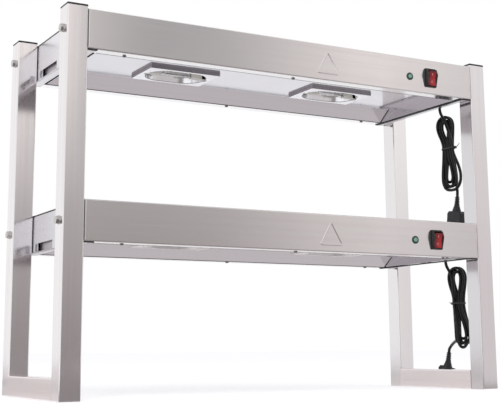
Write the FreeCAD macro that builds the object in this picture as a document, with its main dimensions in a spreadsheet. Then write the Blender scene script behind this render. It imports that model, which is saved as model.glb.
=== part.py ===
import FreeCAD, Part
import math
import os
import re
import Sketcher

# Heated gantry: two shelves with halogen lamps, bolted between two welded side frames.
# +X runs to the right along the shelves, +Y to the back and +Z up, in millimetres.
# The origin is on the floor, in the middle of the frames with their bolts and switches.

os.makedirs("parts", exist_ok=True)
doc = FreeCAD.newDocument("HeatedGantry")
sheet = doc.addObject("Spreadsheet::Sheet", "Sizes")

SIZES = {
    # Side frames and their caps
    "leg_width": 40.0,
    "leg_wall": 1.5,
    "leg_height": 700.0,
    "leg_corner": 2.5,
    "inner_width": 890.0,
    "frame_depth": 325.0,
    "cap_head": 4.0,
    "cap_insert": 14.0,
    "cap_wall": 2.0,
    "cap_edge": 1.2,
    "cap_clearance": 0.2,
    # Bolts that carry the shelves
    "bolt_radius": 4.0,
    "bolt_clearance": 0.3,
    "bolt_flat": 13.0,
    "bolt_head": 5.3,
    "bolt_end": 2.0,
    "washer_radius": 8.0,
    "washer_thickness": 1.4,
    "nut_height": 6.5,
    "thread_clearance": 0.05,
    # Shelf shells
    "leg_rise": 78.0,
    "lower_level": 274.0,
    "shelf_height": 75.0,
    "sheet": 1.0,
    "bend": 2.5,
    "lip_width": 25.0,
    "return_width": 30.0,
    # End plates
    "plate_sheet": 1.2,
    "flange_width": 18.0,
    "flange_gap": 2.0,
    "notch_gap": 0.3,
    "vent_length": 84.0,
    "vent_height": 16.0,
    "vent_sill": 1.0,
    "vent_bridge": 15.0,
    # Reflector trays and their screws
    "tray_sheet": 0.8,
    "tray_rise": 19.0,
    "tray_rim": 18.0,
    "tray_setback": 9.0,
    "slope_run": 57.0,
    "tray_gap": 6.0,
    "tab_width": 10.0,
    "tab_length": 12.0,
    "screw_radius": 1.7,
    "screw_clearance": 0.3,
    "screw_length": 9.0,
    "screw_head_radius": 3.75,
    "screw_head": 2.2,
    "screw_inset": 79.0,
    "screw_setback": 20.0,
    # Lamps
    "lamp_spacing": 377.0,
    "lamp_back": 172.0,
    "lamp_width": 155.0,
    "lamp_depth": 100.0,
    "lamp_drop": 6.0,
    "lamp_height": 38.0,
    "lamp_sheet": 1.0,
    "lamp_flange": 8.0,
    "lamp_clearance": 0.4,
    "lamp_corner": 3.0,
    "mouth_length": 130.0,
    "mouth_depth": 86.0,
    "bowl_height": 30.0,
    "bowl_sheet": 0.6,
    "bowl_rim": 3.0,
    "tube_radius": 5.0,
    "tube_length": 78.0,
    "tube_rise": 8.5,
    "tube_slack": 0.3,
    "tube_cap_radius": 3.8,
    "tube_cap_length": 9.0,
    "holder_length": 24.0,
    "holder_width": 14.0,
    "holder_height": 15.0,
    "holder_recess": 6.0,
    "holder_corner": 1.5,
    "strap_width": 9.0,
    "strap_sheet": 1.2,
    "strap_lap": 4.0,
    "slot_clearance": 1.5,
    # Switches and pilot lights
    "switch_inset": 111.5,
    "switch_level": 35.0,
    "switch_width": 30.5,
    "switch_height": 41.0,
    "bezel_depth": 2.0,
    "bezel_corner": 3.0,
    "guard_wall": 5.0,
    "guard_rim": 1.6,
    "guard_reach": 11.0,
    "guard_foot": 2.5,
    "guard_brow": 5.0,
    "guard_crest": 6.0,
    "guard_end": 3.0,
    "guard_edge": 0.8,
    "switch_body": 24.0,
    "switch_wall": 1.8,
    "body_inset": 2.2,
    "cutout_clearance": 0.3,
    "spade_width": 6.3,
    "spade_thickness": 0.8,
    "spade_length": 9.0,
    "spade_pitch": 9.0,
    "rocker_height": 31.0,
    "rocker_thickness": 8.0,
    "rocker_dish": 1.6,
    "rocker_edge": 0.6,
    "rocker_tilt": 10.0,
    "rocker_clearance": 0.35,
    "pivot_radius": 1.5,
    "pivot_clearance": 0.05,
    "pivot_depth": 3.2,
    "pivot_reach": 2.0,
    "pilot_inset": 166.0,
    "pilot_level": 33.0,
    "pilot_radius": 8.2,
    "pilot_rim": 2.2,
    "pilot_neck": 6.8,
    "pilot_body": 22.0,
    "lens_radius": 5.6,
    "lens_reach": 5.0,
    "lens_dome": 3.6,
    "lens_seat": 1.0,
    "lens_clearance": 0.2,
    # Connector blocks
    "block_length": 46.0,
    "block_width": 20.0,
    "block_height": 16.0,
    "block_inset": 50.0,
    "block_back": 150.0,
    "block_bore": 2.4,
    "block_bore_depth": 7.0,
    # Cord bushes
    "bush_back": 119.0,
    "bush_height": 30.0,
    "bush_radius": 7.9,
    "bush_clearance": 0.3,
    "bush_flange_radius": 10.5,
    "bush_flange": 2.5,
    "bush_nut": 4.0,
    "bush_reach": 10.0,
    "relief_length": 24.0,
    "relief_root": 6.5,
    "relief_tip": 4.6,
    # Cords and their hanks
    "cord_radius": 3.3,
    "strand_gap": 1.0,
    "hank_out": 20.0,
    "hank_waist": 91.0,
    "hank_foot": 167.0,
    "hank_end_lift": 14.0,
    "hank_fold_lift": 8.0,
    "foot_loop": 13.9,
    "foot_spread": 0.55,
    "upper_top_loop": 23.5,
    "upper_inner_loop": 13.0,
    "upper_hank_top": 40.0,
    "upper_top_back": 115.0,
    "upper_waist_back": 107.5,
    "upper_foot_back": 105.5,
    "lower_top_loop": 19.5,
    "lower_inner_loop": 12.0,
    "lower_hank_top": 33.0,
    "lower_top_back": 95.0,
    "lower_waist_back": 92.0,
    "lower_foot_back": 82.0,
    "tie_slack": 0.35,
    "tie_wall": 1.2,
    "tie_height": 3.6,
    # Plugs
    "plug_relief": 18.0,
    "plug_relief_tip": 4.3,
    "plug_relief_root": 5.4,
    "plug_groove": 0.6,
    "plug_shoulder": 14.0,
    "plug_body": 42.0,
    "plug_width": 46.0,
    "plug_thickness": 17.0,
    "plug_throat": 24.0,
    "plug_throat_depth": 14.0,
    "plug_corner": 5.0,
    "plug_foot_corner": 8.0,
    "plug_edge": 2.5,
    "upper_plug_lean": 8.0,
    "lower_plug_lean": 12.0,
    "pin_inset": 10.0,
    "pin_pitch": 22.2,
    "pin_thickness": 4.0,
    "live_pin_length": 17.7,
    "live_pin_width": 6.35,
    "earth_pin_length": 22.7,
    "earth_pin_width": 8.0,
    # Cutting tools run past their faces by this much
    "overrun": 5.0,
}

# Places that follow from a size and a clearance
FOLLOWS = {
    "upper_level": "=leg_height - leg_rise",
    "screw_spacing": "=inner_width/2 - screw_inset",
    "switch_place": "=inner_width/2 - switch_inset",
    "pilot_place": "=inner_width/2 - pilot_inset",
    "block_place": "=inner_width/2 - block_inset",
}
NAMED = {**SIZES, **FOLLOWS}

for row, (alias, length) in enumerate(NAMED.items(), start=1):
    sheet.set("A%d" % row, alias)
    sheet.set("B%d" % row, str(length))
    sheet.setAlias("B%d" % row, alias)
doc.recompute()

# Places that several pieces share, as expressions in the sheet's names
FRONT = "-(frame_depth - guard_reach)/2"
END = "inner_width/2"
PLATE_FACE = "inner_width/2 - sheet"
BOLT_LEVEL = "shelf_height/2"
CEILING = "sheet + tray_rise"
TRAY_END = "inner_width/2 - sheet - flange_width - tray_gap"
LAMP_FLOOR = "sheet + tray_rise - lamp_drop"
PLANES = {"XY": "XY_Plane", "XZ": "XZ_Plane", "YZ": "YZ_Plane"}
SHELVES = ("upper", "lower")
UP = FreeCAD.Vector(0, 0, 1)
AHEAD = FreeCAD.Vector(0, 1, 0)
ACROSS = FreeCAD.Vector(1, 0, 0)
pieces = []


# Helpers for sizes, sketches and features


def size(alias):
    """Read one length back from the sheet."""
    return float(sheet.get(alias))


def front_place():
    """Where the legs' front faces lie along Y."""
    return -(size("frame_depth") - size("guard_reach")) / 2


def bound(text):
    """Point every name in an expression at the sheet."""
    return re.sub(r"[a-z_]+", lambda word: "Sizes." + word[0] if word[0] in NAMED else word[0], text)


def less(text):
    """The same length the other way."""
    return "-(" + text + ")"


def keep(piece):
    """Mark an object as a piece with a file of its own."""
    pieces.append(piece)
    return piece


def set_place(item, x="0", y="0", z="0"):
    """Put an object at three expressions."""
    for axis, text in zip("xyz", (x, y, z)):
        item.setExpression("Placement.Base." + axis, bound(text))


def new_body(label, x="0", y=FRONT, z="0"):
    """A body whose own zero is placed by three expressions."""
    body = doc.addObject("PartDesign::Body", label)
    body.Label = label
    set_place(body, x, y, z)
    return body


def new_sketch(body, name, plane, offset="0"):
    """An empty sketch on an origin plane, moved along +X, +Y or +Z."""
    sketch = body.newObject("Sketcher::SketchObject", name)
    origin = next(item for item in body.Origin.OriginFeatures if item.Role == PLANES[plane])
    sketch.AttachmentSupport = [(origin, "")]
    sketch.MapMode = "FlatFace"
    place = less(offset) if plane == "XZ" else offset
    sketch.setExpression("AttachmentOffset.Base.z", bound(place))
    return sketch


def bind_point(sketch, geometry, position, x, y):
    """Fix one point of a sketch at two expressions."""
    for kind, text in (("DistanceX", x), ("DistanceY", y)):
        index = sketch.addConstraint(Sketcher.Constraint(kind, -1, 1, geometry, position, 1.0))
        sketch.setExpression("Constraints[%d]" % index, bound(text))


def bind_radius(sketch, geometry, radius):
    """Bind a circle's or an arc's radius to an expression."""
    index = sketch.addConstraint(Sketcher.Constraint("Radius", geometry, 1.0))
    sketch.setExpression("Constraints[%d]" % index, bound(radius))


def add_outline(sketch, points):
    """A closed outline through corners given as pairs of expressions."""
    count = len(points)
    first = sketch.GeometryCount
    turns = [math.tau * i / count for i in range(count)]
    start = [FreeCAD.Vector(math.cos(turn), math.sin(turn), 0) for turn in turns]
    for i in range(count):
        sketch.addGeometry(Part.LineSegment(start[i], start[(i + 1) % count]), False)
    for i in range(count):
        following = first + (i + 1) % count
        sketch.addConstraint(Sketcher.Constraint("Coincident", first + i, 2, following, 1))
    for i, (x, y) in enumerate(points):
        bind_point(sketch, first + i, 1, x, y)


def outline(body, name, plane, points, offset="0"):
    """A sketch that holds one closed outline."""
    sketch = new_sketch(body, name, plane, offset)
    add_outline(sketch, points)
    return sketch


def circles(body, name, plane, places, radius, offset="0"):
    """A sketch that holds equal circles at several places."""
    sketch = new_sketch(body, name, plane, offset)
    for x, y in places:
        index = sketch.addGeometry(Part.Circle(ACROSS, UP, 1), False)
        bind_point(sketch, index, 3, x, y)
        bind_radius(sketch, index, radius)
    return sketch


def stadium(body, name, length, depth, offset="0"):
    """A sketch on the XY plane with two half circles joined by straight sides along X."""
    sketch = new_sketch(body, name, "XY", offset)
    right_angle = math.pi / 2
    corners = [FreeCAD.Vector(x, y, 0) for x, y in ((1, 1), (-1, 1), (-1, -1), (1, -1))]
    left = Part.Circle(FreeCAD.Vector(-1, 0, 0), UP, 1)
    right = Part.Circle(FreeCAD.Vector(1, 0, 0), UP, 1)
    sketch.addGeometry(Part.LineSegment(corners[0], corners[1]), False)
    sketch.addGeometry(Part.ArcOfCircle(left, right_angle, 3 * right_angle), False)
    sketch.addGeometry(Part.LineSegment(corners[2], corners[3]), False)
    sketch.addGeometry(Part.ArcOfCircle(right, -right_angle, right_angle), False)
    for i in range(4):
        sketch.addConstraint(Sketcher.Constraint("Tangent", i, 2, (i + 1) % 4, 1))
    half_flat = "((" + length + ") - (" + depth + "))/2"
    bind_point(sketch, 1, 3, less(half_flat), "0")
    bind_point(sketch, 3, 3, half_flat, "0")
    bind_radius(sketch, 1, "(" + depth + ")/2")
    bind_radius(sketch, 3, "(" + depth + ")/2")
    return sketch


def box(x0, x1, y0, y1):
    """The four corners of a rectangle."""
    return [(x0, y0), (x1, y0), (x1, y1), (x0, y1)]


def centred_box(half_x, half_y):
    """The four corners of a rectangle round a sketch's own zero."""
    return box(less(half_x), half_x, less(half_y), half_y)


def lies_on(sketch, plane):
    """True where a sketch is attached to the given origin plane."""
    return sketch.AttachmentSupport[0][0].Role == PLANES[plane]


def pad(body, sketch, length):
    """Extrude a sketch along +X, +Y or +Z."""
    feature = body.newObject("PartDesign::Pad", sketch.Name + "_pad")
    feature.Profile = sketch
    feature.Reversed = lies_on(sketch, "XZ")
    feature.setExpression("Length", bound(length))
    return feature


def pocket(body, sketch, length):
    """Cut a sketch along +X, +Y or +Z, and make sure that it removes metal."""
    doc.recompute()
    before = body.Shape.Volume
    feature = body.newObject("PartDesign::Pocket", sketch.Name + "_cut")
    feature.Profile = sketch
    feature.Reversed = not lies_on(sketch, "XZ")
    feature.setExpression("Length", bound(length))
    doc.recompute()
    if not body.Shape.Volume < before:
        raise ValueError(sketch.Name + " cuts nothing")
    return feature


def revolve(body, sketch, axis="V_Axis"):
    """Turn a half profile about one of its sketch's own axes."""
    feature = body.newObject("PartDesign::Revolution", sketch.Name + "_turn")
    feature.Profile = sketch
    feature.ReferenceAxis = (sketch, [axis])
    feature.Angle = 360
    return feature


def loft(body, kind, sketches):
    """A ruled loft through sketches, as an AdditiveLoft or a SubtractiveLoft."""
    feature = body.newObject("PartDesign::" + kind, sketches[0].Name + "_loft")
    feature.Profile = sketches[0]
    feature.Sections = sketches[1:]
    feature.Ruled = True
    return feature


def round_edges(body, name, radius, wanted):
    """Fillet every edge that the given test accepts, in the body's own frame."""
    doc.recompute()
    tip = body.Tip
    names = ["Edge%d" % i for i, edge in enumerate(tip.Shape.Edges, start=1) if wanted(edge)]
    if not names:
        raise ValueError(name + " finds no edge")
    feature = body.newObject("PartDesign::Fillet", name)
    feature.Base = (tip, names)
    feature.setExpression("Radius", bound(radius))
    return feature


def runs_along(edge, axis):
    """True for a straight edge parallel to axis 0, 1 or 2."""
    if not isinstance(edge.Curve, Part.Line):
        return False
    return abs(abs(edge.tangentAt(edge.FirstParameter)[axis]) - 1) < 1e-6


def near(value, *goals):
    """True where a length agrees with one of several others."""
    return any(abs(value - goal) < 1e-4 for goal in goals)


def mirrored(label, source):
    """The other hand of a piece, mirrored in the plane X = 0."""
    copy = doc.addObject("Part::Mirroring", label)
    copy.Label = label
    copy.Source = source
    copy.Normal = ACROSS
    return keep(copy)


def set_shape(label, shape):
    """A piece whose shape comes straight from its own function."""
    piece = doc.addObject("Part::Feature", label)
    piece.Label = label
    piece.Shape = shape
    return keep(piece)


def placed(shape, x, y, z, turn=FreeCAD.Rotation()):
    """A copy of a shape, turned about its zero and then moved."""
    copy = shape.copy()
    copy.Placement = FreeCAD.Placement(FreeCAD.Vector(x, y, z), turn).multiply(shape.Placement)
    return copy


# Side frames


def make_tube(body, plane, length):
    """A square tube round its own zero, along the given plane's normal."""
    half = "leg_width/2"
    axis = {"XY": 2, "XZ": 1}[plane]
    pad(body, outline(body, body.Name + "_outside", plane, centred_box(half, half)), length)
    round_edges(body, body.Name + "_corners", "leg_corner", lambda edge: runs_along(edge, axis))
    inner = half + " - leg_wall"
    bore = outline(body, body.Name + "_inside", plane, centred_box(inner, inner), "-overrun")
    pocket(body, bore, length + " + 2*overrun")


def make_leg(label, x, y):
    """One upright, bored for the bolts of both shelves."""
    leg = new_body(label, x, FRONT + " + " + y)
    make_tube(leg, "XY", "leg_height")
    places = [("0", level + "_level + " + BOLT_LEVEL) for level in SHELVES]
    radius = "bolt_radius + bolt_clearance"
    holes = circles(leg, label + "_holes", "YZ", places, radius, "-leg_width/2 - overrun")
    pocket(leg, holes, "leg_width + 2*overrun")
    keep(leg)


def make_rail(label, x):
    """The tube on the floor between two legs."""
    rail = new_body(label, x, FRONT + " + leg_width", "leg_width/2")
    make_tube(rail, "XZ", "frame_depth - 2*leg_width")
    keep(rail)


def make_cap_form():
    """A plastic cap for a leg's top, with its hollow insert."""
    cap = new_body("cap_form", "0", "0")
    half = "leg_width/2"
    insert = half + " - leg_wall - cap_clearance"
    hollow = insert + " - cap_wall"
    pad(cap, outline(cap, "cap_head_outline", "XY", centred_box(half, half)), "cap_head")
    round_edges(cap, "cap_corners", "leg_corner", lambda edge: runs_along(edge, 2))
    top = size("cap_head")
    round_edges(cap, "cap_top", "cap_edge", lambda edge: near(edge.BoundBox.ZMin, top))
    pad(cap, outline(cap, "cap_insert_outline", "XY", centred_box(insert, insert), "-cap_insert"), "cap_insert")
    core = outline(cap, "cap_hollow", "XY", centred_box(hollow, hollow), "-cap_insert - overrun")
    pocket(cap, core, "cap_insert + overrun")
    return cap


def hexagon(flat):
    """The corners of a hexagon, from its width across flats."""
    corner, half, side = flat + "/sqrt(3)", flat + "/(2*sqrt(3))", flat + "/2"
    return [(corner, "0"), (half, side), (less(half), side), (less(corner), "0"),
            (less(half), less(side)), (half, less(side))]


def make_bolt_form():
    """A hexagon bolt with its washer, head towards +X."""
    bolt = new_body("bolt_form", "0", "0")
    shank = "leg_width + sheet + plate_sheet + nut_height + bolt_end"
    pad(bolt, circles(bolt, "bolt_washer", "YZ", [("0", "0")], "washer_radius"), "washer_thickness")
    pad(bolt, outline(bolt, "bolt_hexagon", "YZ", hexagon("bolt_flat"), "washer_thickness"), "bolt_head")
    pad(bolt, circles(bolt, "bolt_shank", "YZ", [("0", "0")], "bolt_radius", less(shank)), shank)
    return bolt


def make_nut_form():
    """A hexagon nut along +X."""
    nut = new_body("nut_form", "0", "0")
    pad(nut, outline(nut, "nut_hexagon", "YZ", hexagon("bolt_flat")), "nut_height")
    bore = circles(nut, "nut_bore", "YZ", [("0", "0")], "bolt_radius + thread_clearance", "-overrun")
    pocket(nut, bore, "nut_height + 2*overrun")
    return nut


def make_side_frames():
    """Four legs and two rails."""
    for side, sign in (("left", "-"), ("right", "")):
        middle = sign + "(inner_width/2 + leg_width/2)"
        make_leg(side + "_front_leg", middle, "leg_width/2")
        make_leg(side + "_rear_leg", middle, "frame_depth - leg_width/2")
        make_rail(side + "_bottom_rail", middle)


def make_frame_fittings():
    """The legs' caps, and the bolts and nuts that hold the shelves."""
    cap, bolt, nut = make_cap_form(), make_bolt_form(), make_nut_form()
    doc.recompute()
    half_leg = size("leg_width") / 2
    inner = size("inner_width") / 2
    backs = (front_place() + half_leg, front_place() + size("frame_depth") - half_leg)
    levels = [size(shelf + "_level") + size("shelf_height") / 2 for shelf in SHELVES]
    turns = {1: FreeCAD.Rotation(), -1: FreeCAD.Rotation(UP, 180)}
    bolt_face = inner + size("leg_width")
    nut_face = inner - size("sheet") - size("plate_sheet") - size("nut_height")
    corners = [(side, back) for side in turns for back in backs]
    fixings = [(side, back, level) for side, back in corners for level in levels]
    set_shape("leg_end_caps", Part.makeCompound(
        [placed(cap.Shape, side * (inner + half_leg), back, size("leg_height")) for side, back in corners]))
    for label, form, face in (("shelf_bolts", bolt, bolt_face), ("shelf_nuts", nut, nut_face)):
        set_shape(label, Part.makeCompound(
            [placed(form.Shape, side * face, back, level, turns[side]) for side, back, level in fixings]))


# Shelves


def screw_places():
    """Three screws along each lip of a shelf."""
    rows = ("screw_setback", "frame_depth - screw_setback")
    return [(x, y) for x in ("-screw_spacing", "0", "screw_spacing") for y in rows]


def make_shell(name, level):
    """Deck, aprons and lips: one folded sheet, open below and at both ends."""
    shell = new_body(name + "_shelf_shell", "0", FRONT, level)
    section = [("lip_width", "0"), ("0", "0"), ("0", "shelf_height"), ("frame_depth", "shelf_height"),
               ("frame_depth", "0"), ("frame_depth - lip_width", "0"), ("frame_depth - lip_width", "sheet"),
               ("frame_depth - sheet", "sheet"), ("frame_depth - sheet", "shelf_height - sheet"),
               ("sheet", "shelf_height - sheet"), ("sheet", "sheet"), ("lip_width", "sheet")]
    pad(shell, outline(shell, name + "_shell_section", "YZ", section, less(END)), "inner_width")
    height, depth, wall = size("shelf_height"), size("frame_depth"), size("sheet")

    def is_bend(edge, inset):
        bounds = edge.BoundBox
        level_fits = near(bounds.ZMin, inset, height - inset)
        return runs_along(edge, 0) and level_fits and near(bounds.YMin, inset, depth - inset)

    round_edges(shell, name + "_outer_bends", "bend", lambda edge: is_bend(edge, 0))
    round_edges(shell, name + "_inner_bends", "bend - sheet", lambda edge: is_bend(edge, wall))
    notch = "flange_width + notch_gap + sheet"
    returns = (("front", "sheet", "return_width"),
               ("rear", "frame_depth - return_width", "frame_depth - sheet"))
    for side, face, start in (("left", less(END), less(END)), ("right", END + " - sheet", END + " - (" + notch + ")")):
        for row, y in (("front", "bend"), ("rear", "frame_depth - bend - lip_width")):
            corners = box(start, start + " + " + notch, y, y + " + lip_width")
            cut = outline(shell, "_".join((name, side, row, "notch")), "XY", corners, "-overrun")
            pocket(shell, cut, "overrun + sheet")
        for row, y0, y1 in returns:
            corners = box(face, face + " + sheet", y0, y1)
            fold = outline(shell, "_".join((name, side, row, "return")), "XY", corners, "bend")
            pad(shell, fold, "shelf_height - 2*bend")
    rows = [("leg_width/2", BOLT_LEVEL), ("frame_depth - leg_width/2", BOLT_LEVEL)]
    bolts = circles(shell, name + "_bolt_holes", "YZ", rows, "bolt_radius + bolt_clearance", less(END + " + overrun"))
    pocket(shell, bolts, "inner_width + 2*overrun")
    radius = "screw_radius + screw_clearance"
    screws = circles(shell, name + "_screw_holes", "XY", screw_places(), radius, "-overrun")
    pocket(shell, screws, "overrun + sheet")
    reach_x = "switch_width/2 - body_inset + cutout_clearance"
    reach_z = "switch_height/2 - body_inset + cutout_clearance"
    corners = box("switch_place - (" + reach_x + ")", "switch_place + " + reach_x,
                  "switch_level - (" + reach_z + ")", "switch_level + " + reach_z)
    pocket(shell, outline(shell, name + "_switch_cutout", "XZ", corners, "-overrun"), "overrun + sheet")
    pilot = circles(shell, name + "_pilot_cutout", "XZ", [("pilot_place", "pilot_level")],
                    "pilot_neck + cutout_clearance", "-overrun")
    pocket(shell, pilot, "overrun + sheet")
    keep(shell)


def make_plate_form(name, level):
    """An end wall: clamped by the bolts, with two vents above its flange."""
    plate = new_body(name + "_plate_form", "0", FRONT, level)
    inside = PLATE_FACE + " - plate_sheet"
    edge_of_flange = PLATE_FACE + " - flange_width"
    wall = outline(plate, name + "_plate_wall", "YZ",
                   box("bend", "frame_depth - bend", "bend", "shelf_height - bend"), inside)
    pad(plate, wall, "plate_sheet")
    section = [(edge_of_flange, "0"), (PLATE_FACE, "0"), (PLATE_FACE, "2*bend"), (inside, "2*bend"),
               (inside, "plate_sheet"), (edge_of_flange, "plate_sheet")]
    flange = outline(plate, name + "_plate_flange", "XZ", section, "bend + flange_gap")
    pad(plate, flange, "frame_depth - 2*(bend + flange_gap)")
    outer = size("inner_width") / 2 - size("sheet")
    thick = size("plate_sheet")

    def is_bend(edge, inset):
        bounds = edge.BoundBox
        return runs_along(edge, 1) and near(bounds.XMin, outer - inset) and near(bounds.ZMin, inset)

    round_edges(plate, name + "_plate_outer_bend", "bend", lambda edge: is_bend(edge, 0))
    round_edges(plate, name + "_plate_inner_bend", "bend - plate_sheet", lambda edge: is_bend(edge, thick))
    vents = new_sketch(plate, name + "_plate_vents", "YZ", inside + " - overrun")
    low = "plate_sheet + vent_sill"
    for start in ("frame_depth/2 - vent_bridge/2 - vent_length", "frame_depth/2 + vent_bridge/2"):
        add_outline(vents, box(start, start + " + vent_length", low, low + " + vent_height"))
    pocket(plate, vents, "plate_sheet + 2*overrun")
    places = [("leg_width/2", BOLT_LEVEL), ("frame_depth - leg_width/2", BOLT_LEVEL)]
    radius = "bolt_radius + bolt_clearance"
    holes = circles(plate, name + "_plate_holes", "YZ", places, radius, inside + " - overrun")
    pocket(plate, holes, "plate_sheet + 2*overrun")
    return plate


def make_end_plates(name, level):
    """Both end walls; the right one is also bored for the cord's bush."""
    plain = make_plate_form(name, level)
    mirrored(name + "_left_end_plate", plain)
    drill = doc.addObject("Part::Cylinder", name + "_bush_drill")
    drill.setExpression("Radius", bound("bush_radius + bush_clearance"))
    drill.setExpression("Height", bound("plate_sheet + 2*overrun"))
    drill.Placement.Rotation = FreeCAD.Rotation(AHEAD, 90)
    set_place(drill, PLATE_FACE + " - plate_sheet - overrun", FRONT + " + bush_back", level + " + bush_height")
    bored = doc.addObject("Part::Cut", name + "_right_end_plate")
    bored.Base = plain
    bored.Tool = drill
    keep(bored)


def make_tray(name, level):
    """Polished tray: sloped in front and behind, upright ends, two lamp openings."""
    tray = new_body(name + "_reflector_tray", "0", FRONT, level)
    foot, top = "tray_setback + tray_rim", "tray_setback + tray_rim + slope_run"
    below = [("tray_setback", "sheet"), (foot, "sheet"), (top, CEILING), ("frame_depth - (" + top + ")", CEILING),
             ("frame_depth - (" + foot + ")", "sheet"), ("frame_depth - tray_setback", "sheet")]
    above = [(y, z + " + tray_sheet") for y, z in reversed(below)]
    left = less(TRAY_END)
    pad(tray, outline(tray, name + "_tray_section", "YZ", below + above, left), "2*(" + TRAY_END + ")")
    for side, end, tab in (("left", left, left + " - tab_length"), ("right", TRAY_END + " - tray_sheet", TRAY_END)):
        wall = outline(tray, "_".join((name, side, "tray_wall")), "YZ", below[1:5], end)
        pad(tray, wall, "tray_sheet")
        corners = box(tab, tab + " + tab_length", "frame_depth/2 - tab_width/2", "frame_depth/2 + tab_width/2")
        strip = outline(tray, "_".join((name, side, "tray_tab")), "XY", corners, "plate_sheet")
        pad(tray, strip, "tray_sheet")
    openings = new_sketch(tray, name + "_lamp_openings", "XY")
    half, reach = "lamp_width/2 + lamp_clearance", "lamp_depth/2 + lamp_clearance"
    for place in ("-lamp_spacing/2", "lamp_spacing/2"):
        add_outline(openings, box(place + " - (" + half + ")", place + " + " + half,
                                  "lamp_back - (" + reach + ")", "lamp_back + " + reach))
    pocket(tray, openings, CEILING + " + overrun")
    radius = "screw_radius + screw_clearance"
    pocket(tray, circles(tray, name + "_tray_holes", "XY", screw_places(), radius), "overrun")
    keep(tray)


def make_screw_form():
    """A pan head screw with its head down."""
    screw = new_body("screw_form", "0", "0")
    half = [("0", "-screw_head"), ("screw_head_radius*0.7", "-screw_head"),
            ("screw_head_radius", "-screw_head*0.4"), ("screw_head_radius", "0"), ("screw_radius", "0"),
            ("screw_radius", "screw_length - screw_radius"), ("0", "screw_length")]
    revolve(screw, outline(screw, "screw_half", "XZ", half))
    return screw


def make_tray_screws(name, screw):
    """Six screws that hold a tray on its shelf's lips."""
    rows = (size("screw_setback"), size("frame_depth") - size("screw_setback"))
    columns = (-size("screw_spacing"), 0, size("screw_spacing"))
    level = size(name + "_level")
    set_shape(name + "_tray_screws", Part.makeCompound(
        [placed(screw.Shape, x, front_place() + y, level) for x in columns for y in rows]))


# Lamps

# How a bowl closes: shares of its height, of its mouth's length and of its mouth's depth
BOWL_SHARES = ((0.0, 1.0, 1.0), (0.4, 0.97, 0.93), (0.75, 0.9, 0.74), (1.0, 0.78, 0.42))


def make_lamp_housing(label, x, level):
    """A pressed box that hangs in the tray, with a long rounded mouth below."""
    housing = new_body(label, x, FRONT + " + lamp_back", level + " + " + LAMP_FLOOR)
    half, reach = "lamp_width/2", "lamp_depth/2"
    pad(housing, outline(housing, label + "_outside", "XY", centred_box(half, reach)), "lamp_height")
    round_edges(housing, label + "_corners", "lamp_corner", lambda edge: runs_along(edge, 2))
    inside = centred_box(half + " - lamp_sheet", reach + " - lamp_sheet")
    pocket(housing, outline(housing, label + "_inside", "XY", inside, "lamp_sheet"), "lamp_height + overrun")
    for row, y in (("front", less(reach + " + lamp_flange")), ("rear", reach)):
        corners = box(less(half), half, y, y + " + lamp_flange")
        flange = outline(housing, "_".join((label, row, "flange")), "XY", corners, "lamp_drop + tray_sheet")
        pad(housing, flange, "lamp_sheet")
    mouth = stadium(housing, label + "_mouth", "mouth_length", "mouth_depth", "-overrun")
    pocket(housing, mouth, "lamp_sheet + overrun")
    notches = new_sketch(housing, label + "_notches", "XY", "-overrun")
    near_end, far_end = "mouth_length/2 - strap_width", "mouth_length/2 + strap_width/2"
    for x0, x1 in ((near_end, far_end), (less(far_end), less(near_end))):
        add_outline(notches, box(x0, x1, "-strap_width/2", "strap_width/2"))
    pocket(housing, notches, "lamp_sheet + overrun")
    keep(housing)


def bowl_sections(body, name, length, depth, height):
    """The sketches through which a bowl is lofted."""
    sections = []
    for i, (high, long, deep) in enumerate(BOWL_SHARES):
        sections.append(stadium(body, "%s_%d" % (name, i), "(%s)*%r" % (length, long), "(%s)*%r" % (depth, deep),
                                "(%s)*%r" % (height, high)))
    return sections


def make_reflector(label, x, level):
    """A pressed bowl round one lamp, with a flat rim on the housing's floor."""
    bowl = new_body(label, x, FRONT + " + lamp_back", level + " + " + LAMP_FLOOR + " + lamp_sheet")
    long, deep = "mouth_length + 2*bowl_sheet", "mouth_depth + 2*bowl_sheet"
    loft(bowl, "AdditiveLoft", bowl_sections(bowl, label + "_outside", long, deep, "bowl_height + bowl_sheet"))
    rim = stadium(bowl, label + "_rim", "mouth_length + 2*bowl_rim", "mouth_depth + 2*bowl_rim")
    pad(bowl, rim, "bowl_sheet")
    loft(bowl, "SubtractiveLoft",
         bowl_sections(bowl, label + "_inside", "mouth_length", "mouth_depth", "bowl_height"))
    slots = new_sketch(bowl, label + "_slots", "XY", "-overrun")
    start, stop = "tube_length/2 + holder_recess", "mouth_length/2 + bowl_rim + overrun"
    side = "holder_width/2 + slot_clearance"
    for x0, x1 in ((start, stop), (less(stop), less(start))):
        add_outline(slots, box(x0, x1, less(side), side))
    pocket(bowl, slots, "overrun + holder_height + bowl_sheet + slot_clearance")
    keep(bowl)


def make_lamp_tube(label, x, level):
    """A double ended halogen tube: glass with a ceramic cap at each end."""
    tube = new_body(label, x, FRONT + " + lamp_back", level + " + " + LAMP_FLOOR + " + tube_rise")
    end, neck, glass = "tube_length/2", "tube_length/2 - tube_cap_length", "tube_radius"
    right = [(neck + " - " + glass, glass), (neck, glass + "*0.5"), (neck, "tube_cap_radius"),
             (end, "tube_cap_radius"), (end, "0")]
    left = [(less(along), radius) for along, radius in reversed(right)]
    revolve(tube, outline(tube, label + "_half", "XZ", left + right), "H_Axis")
    keep(tube)


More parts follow.
